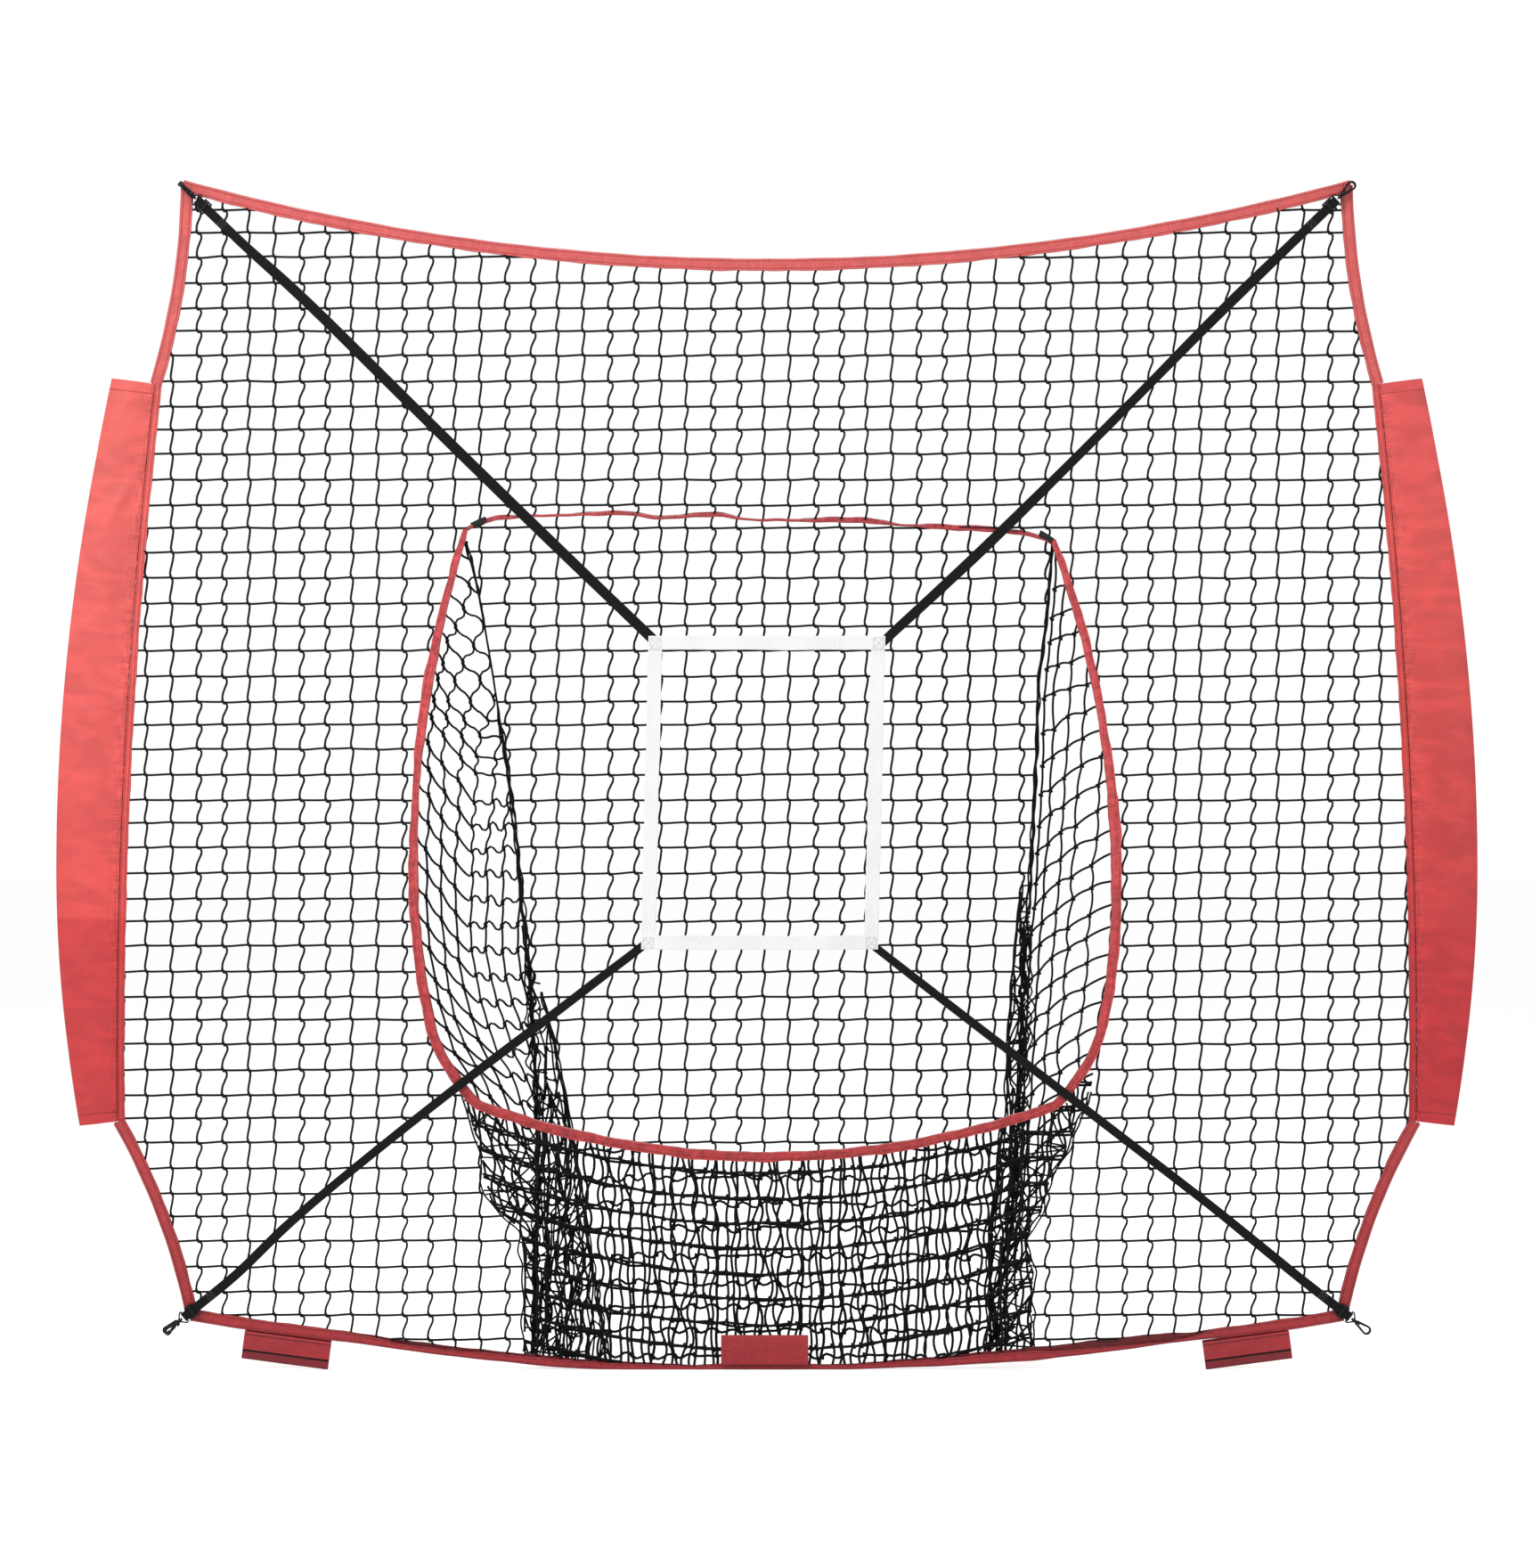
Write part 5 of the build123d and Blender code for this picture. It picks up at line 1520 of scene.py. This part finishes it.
def laid_in_loop(path, place, wave, seed):
    """A loop's cloth along its path, with faint waves, put where its loop hangs."""
    rng = np.random.default_rng(seed)
    phase = rng.uniform(0, 7, 3)
    marks = np.linspace(0, 1, len(path))

    def surface(a, b):
        x = (a - 0.5) * loop_seen
        y, z = (np.interp(b, marks, path[:, k]) for k in (0, 1))
        loose = np.sin(math.pi * np.clip(b, 0, 1))
        y = y + wave * loose * (np.sin(x * 62 + phase[0]) + 0.5 * np.sin(x * 140 + phase[1]))
        z = z + 0.4 * wave * loose * np.sin(x * 45 + phase[2])
        return np.stack(hung(place, x, y, z), axis=-1)
    return surface


def sewn_across(surface, level):
    """Frames for a row of stitches across a cloth, on both its faces."""
    a, b = np.linspace(0.02, 0.98, 36), np.full(36, level)
    frames = []
    for skin in (-1, 1):
        line = surface(a, b)
        ahead = surface(a + 0.01, b) - line
        climb = surface(a, np.full(36, level + 0.02)) - line
        ahead /= np.linalg.norm(ahead, axis=1, keepdims=True)
        climb /= np.linalg.norm(climb, axis=1, keepdims=True)
        face = np.cross(ahead, climb) * skin
        frames.append(np.stack([ahead, face, np.cross(ahead, face), line + face * cloth_lift], axis=1))
    return np.concatenate(frames)

# %% [markdown]
# ## Hook-and-loop tape
# The hook half of the tape is sewn under each flap: a thin woven strip that is covered with
# stiff tufts. The strip is a bevelled box. Each tuft is a tiny blunt cone, modelled once,
# and a grid of its copies covers the strip.

# %% A strip and its tufts
strip_size, strip_back, strip_down = (0.156, 0.0005, 0.0180), -0.0052, -0.0300
tuft_back = -0.0048
deselect()
bpy.ops.mesh.primitive_cone_add(vertices=4, radius1=0.00055, radius2=0.0002, depth=0.0007)
tuft_model = bpy.context.object


def sew_hook_strip(word, place, body):
    """The strip of hook tape under one loop's flap, on the body that the flap is on."""
    turn, up = place[3:]
    frames = [[(1, 0, 0), (0, 0, 1), (0, -up, 0), hung(place, along, tuft_back, down)]
              for along in np.arange(-0.0755, 0.0765, 0.0022)
              for down in np.arange(-0.0380, -0.0215, 0.0019)]
    deselect()
    bpy.ops.mesh.primitive_cube_add(size=1)
    woven_strip = bpy.context.object
    woven_strip.name = word + "_hook_strip"
    bpy.ops.transform.resize(value=strip_size)
    bpy.ops.object.transform_apply(location=False, rotation=False, scale=True)
    bpy.ops.object.modifier_add(type="BEVEL")
    woven_strip.modifiers[0].width = 0.0002
    bpy.ops.object.modifier_apply(modifier=woven_strip.modifiers[0].name)
    bpy.ops.transform.rotate(value=-turn, orient_axis="Y", center_override=(0, 0, 0))
    woven_strip.location = hung(place, 0.0, strip_back, strip_down)
    bpy.ops.object.transform_apply(location=True, rotation=True, scale=True)
    woven_strip.data.materials.append(hook_tape)
    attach(woven_strip, body)
    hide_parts(word + "_loop_strip")
    tufts = strew(word + "_hook_strip_tufts", tuft_model, frames, hook_tape)
    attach(tufts, body)
    print(word, "strip", len(frames), "tufts")

# %% The three loops
for word, place in loop_places.items():
    # the middle loop's flap is sewn down, so it moves with its loop
    flap_body = "middle_loop" if word == "middle" else word + "_flap"
    for part, path, wave, rider, node, level in (
            ("loop_cloth", loop_path, 0.00020, word + "_loop", "_base_loop", 0.06),
            ("flap_cloth", flap_path, 0.00012, flap_body, "_loop_flap", 0.22)):
        surface = laid_in_loop(path, place, wave, len(word) + len(part))
        long = float(np.linalg.norm(np.diff(path, axis=0), axis=1).sum())
        # the outer loops' cloth is painted darker low down, as the shade under their flaps
        cloth = cloth_grid(f"{word}_{part}", (40, len(path) - 1), surface, (loop_cut, long), 0.0013,
                           red_shaded if part == "loop_cloth" and word != "middle" else red_fabric)
        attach(cloth, rider)
        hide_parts(word + node)
        sewn = strew(f"{word}_{part}_stitches", stitch_model, sewn_across(surface, level), red_thread_painted_shade)
        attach(sewn, rider)
    sew_hook_strip(word, place, flap_body)
bpy.data.objects.remove(tuft_model)

# %% [markdown]
# ## Strike target
# The target is a frame of white webbing, 25 mm wide, the upright bands behind and the
# level ones sewn over them with a crossed square of stitches at each corner. Webbing is
# woven flat with a firm edge, so each band is a flat section with rounded selvedges.

# %% The section of webbing, and crossed stitches
front = np.array([0, -1.0, 0])


def webbing_section(width, thick):
    """A flat section whose edges are rounded and a touch fuller than its middle."""
    half, t = width / 2, thick / 2
    top = [(-half, 0), (-half + 0.25 * t, 0.75 * t), (-half + 0.0012, t), (-half + 0.003, 0.88 * t),
           (0, 0.9 * t), (half - 0.003, 0.88 * t), (half - 0.0012, t), (half - 0.25 * t, 0.75 * t)]
    return top + [(-x, -y) for x, y in top]


def crossed_square(centre, size, axis, lift, spacing=0.0032):
    """Stitches round a square and along both its diagonals, on its front."""
    axis = np.array([axis[0], 0, axis[1]]) / math.hypot(*axis)
    other = np.array([-axis[2], 0, axis[0]])
    corners = [centre + size / 2 * (a * axis + b * other)
               for a, b in ((-1, -1), (1, -1), (1, 1), (-1, 1))]
    frames = []
    for i, j in ((0, 1), (1, 2), (2, 3), (3, 0), (0, 2), (1, 3)):
        ahead = corners[j] - corners[i]
        long = np.linalg.norm(ahead)
        ahead = ahead / long
        for part in np.arange(spacing / 2, long, spacing):
            frames.append([ahead, front, np.cross(ahead, front),
                           corners[i] + ahead * part + front * lift])
    return frames

# %% The target's bands
# the target hangs a little askew: its lower corners have drifted 13 mm to the left
half_target, target_high, target_low, target_drift = 0.213, 1.321, 0.757, 0.013
band_wide, band_thick, band_plane = 0.025, 0.002, 0.01475
inset = band_wide / 2
target_corners = {(a, u): (a * half_target - (target_drift if u < 0 else 0),
                           target_high if u > 0 else target_low) for a in (-1, 1) for u in (-1, 1)}
bands = {}
for a, word in ((-1, "left"), (1, "right")):
    (tx, tz), (bx, bz) = target_corners[a, 1], target_corners[a, -1]
    bands["target_" + word] = ((tx - a * inset, tz - 0.0006), (bx - a * inset, bz + 0.0006), 0)
for u, word in ((1, "top"), (-1, "bottom")):
    (lx, lz), (rx, rz) = target_corners[-1, u], target_corners[1, u]
    bands["target_" + word] = ((lx, lz - u * inset), (rx, rz - u * inset), 1)
for seed, (name, (start, end, layer)) in enumerate(bands.items()):
    line = evenly([start, end], 0.008)
    s = np.linspace(0, 1, len(line))
    bend = 0.0012 * np.sin(math.pi * s) * ripple(s, [0.3, 0.7, 1.4], np.random.default_rng(seed))
    path, across, out = in_plane(line, -(band_plane + band_thick * (layer + 0.5)))
    path = path + across * bend[:, None] - out * 0.0006 * (np.sin(math.pi * s) ** 2)[:, None] * layer
    band = strip(name + "_webbing", path, across, out, webbing_section(band_wide, band_thick),
                 white_webbing)
    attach(band, "target")
    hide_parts(name)
print("target", 2 * half_target, "m wide,", round(target_high - target_low, 3), "m tall")

# %% The target's corner stitches
frames = []
for (a, u), (x, z) in target_corners.items():
    centre = np.array([x - a * inset, -(band_plane + 2 * band_thick), z - u * inset])
    frames += crossed_square(centre, 0.018, (1, 0), 0.0002)
sewn = strew("target_corner_stitches", stitch_model, frames, white_thread)
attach(sewn, "target")
print("corner stitches", len(frames))

# %% [markdown]
# ## Straps
# Four straps of black webbing pull the target's corners towards the corners of the net.
# Each runs from behind the target through its slider, round the bar of a swivel eye, and
# back, where it is sewn down. The path below is that route, seen from the strap's side.

# %% Where the straps run, and how they bow and turn
hook_plane = 0.01155          # how far in front of the net's middle the hooks lie
near, far = 0.0017, 0.0032    # the inside and the outside of the fold round the eye's bar
strap_thick = far - near
tuck, fold_long = 0.018, 0.044                # the end behind the target, and the fold's length
# the upper eyes are inside the net's corners, the lower ones outside them
eyes = {"upper": (top_corner[0] - 0.021, top_corner[1] - 0.026),
        "lower": (foot_corner[0] + 0.010, foot_corner[1] - 0.010)}
# how far each strap bows to its side, and its width where it has turned a little edgewise,
# in millimetres at marks from the eye (0) to the target (1)
marks = [0, 0.11, 0.16, 0.22, 0.3, 0.4, 0.5, 0.6, 0.7, 0.8, 0.9, 1.0]
bows = {"upper_left": [0, 0, -3, -5, -5, -3.4, -2, -1, -0.4, -0.2, -0.6, -1],
        "upper_right": [0, 0, 0.3, 0.4, -0.6, -3.8, -6.4, -8.2, -9.6, -10, -8, -5],
        "lower_left": [0, 0, -5, -12, -15.6, -16.8, -16.6, -15.2, -12.6, -8.6, -6.2, -3],
        "lower_right": [0, 0, 1.4, 2.8, 4.4, 3.8, 3.2, 2.4, 1.4, 0.4, 0, 0]}
widths = {"upper_left": [17, 17, 18.4, 19, 19, 19.2, 19.2, 19.2, 19.2, 19.2, 18.5, 19],
          "upper_right": [17, 17, 18.4, 18.8, 18.2, 16.8, 16.6, 16.6, 18.2, 18.8, 18, 17],
          "lower_left": [17, 17, 17, 17, 16, 15.6, 15.7, 16, 16.2, 16.5, 16, 15.7],
          "lower_right": [17, 17, 17, 16.8, 16, 16, 15.7, 15.6, 15.5, 15.5, 15.2, 14.5]}


def way_to_eye(corner, spot):
    """A corner's name, its eye's place, and the way there from the target and its length."""
    (a, u), (cx, cz) = corner, spot
    level, word = ("upper" if u > 0 else "lower"), ("left" if a < 0 else "right")
    ex, ez = a * eyes[level][0], eyes[level][1]
    way = np.array([ex - cx, 0, ez - cz])
    length = np.linalg.norm(way)
    return f"{level}_{word}", np.array([ex, -hook_plane, ez]), way / length, length


print("straps bow up to", max(abs(bow) for row in bows.values() for bow in row), "mm")

# %% Straps
mid, under = (near + far) / 2, near - strap_thick / 2
bend = np.linspace(math.pi / 2, -math.pi / 2, 9)
fold = np.vstack([np.c_[mid * np.cos(bend), mid * np.sin(bend)],
                  evenly([(-0.001, -mid), (-fold_long, -mid)], 0.006),
                  evenly([(-0.0455, -mid + 0.0002), (-0.0505, under - 0.0002)], 0.0016),
                  evenly([(-0.0523, under), (-0.0683, under)], 0.005)])
for corner, spot in target_corners.items():
    name, origin, ahead, length = way_to_eye(corner, spot)
    side_way = np.cross(front, ahead)
    route = np.vstack([evenly([(-length - tuck, mid), (-0.001, mid)], 0.008), fold])
    tangent = np.gradient(route, axis=0)
    tangent /= np.linalg.norm(tangent, axis=1, keepdims=True)
    upright = np.c_[-tangent[:, 1], tangent[:, 0]]
    part = np.clip(-route[:, 0] / length, 0, 1)
    # the bow's corners are rounded by taking the mean of five neighbours
    bow = np.interp(part, np.linspace(0, 1, 80), np.convolve(
        np.interp(np.linspace(-0.025, 1.025, 84), marks, bows[name]), np.ones(5) / 5, "valid")) * 0.001
    sections = [webbing_section(w * 0.001, strap_thick) for w in np.interp(part, marks, widths[name])]
    path = origin + route[:, :1] * ahead + route[:, 1:] * front + bow[:, None] * side_way
    out = upright[:, :1] * ahead + upright[:, 1:] * front
    strap = strip(name + "_strap_webbing", path, np.tile(side_way, (len(path), 1)), out,
                  sections, black_webbing)
    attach(strap, "target")
    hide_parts(name + "_strap")
    frames = crossed_square(origin + ahead * -0.0605 + front * far, 0.012, (ahead[0], ahead[2]), 0.0001)
    sewn = strew(name + "_strap_stitches", stitch_model, frames, black_thread)
    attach(sewn, "target")
    print(name, "strap", round(float(length), 3), "m")
bpy.data.objects.remove(stitch_model)

# %% [markdown]
# ## Plastic and metal fittings
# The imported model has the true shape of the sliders, the swivel eyes and the gates' pins,
# so those stay as they are and only get the finish of what they are made of. The cast
# hooks and their gates are seen edgewise at one corner, where they are far thicker than
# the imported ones, so each is copied and widened square to its own plane.

# %% Finishes of the sliders, eyes and pins
fittings = {"slider": slider_plastic, "eye": coated_zinc, "gate_pin": pin_steel}
for corner, spot in target_corners.items():
    name = way_to_eye(corner, spot)[0]
    for part, finish in fittings.items():
        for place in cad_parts[f"{name}_{part}"].material_slots:
            place.material = finish
print("fittings with a finish:", len(fittings) * len(target_corners))

# %% Stouter hooks and gates
# how far each hook has turned on its swivel
hook_turn = {"upper_left": 90, "upper_right": 0, "lower_left": 45, "lower_right": 180}
# how much wider than packed a hook is, at distances from its eye's bar; a gate is less so
from_bar = [0.012, 0.016, 0.024, 0.028, 0.038, 0.044, 0.0475]
widening = [0, 1.3, 1.3, 0.7, 0.7, 1.5, 1.1]
gate_share = 0.3
for corner, spot in target_corners.items():
    name, origin, ahead, length = way_to_eye(corner, spot)
    turn = math.radians(hook_turn[name])
    flat_axis = math.cos(turn) * front - math.sin(turn) * np.cross(front, ahead)
    for part, share in (("hook", 1.0), ("gate", gate_share)):
        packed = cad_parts[f"{name}_{part}"]
        points = np.array([packed.matrix_world @ v.co for v in packed.data.vertices])
        along, off = (points - origin) @ ahead, (points - origin) @ flat_axis
        points = points + (np.interp(along, from_bar, widening) * share * off)[:, None] * flat_axis
        faces = [list(f.vertices) for f in packed.data.polygons]
        cast = make_mesh(f"{name}_{part}_cast", points, faces, coated_zinc)
        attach(cast, f"{name}_{part}")
        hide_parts(f"{name}_{part}")
    print(name, "hook and gate cast")
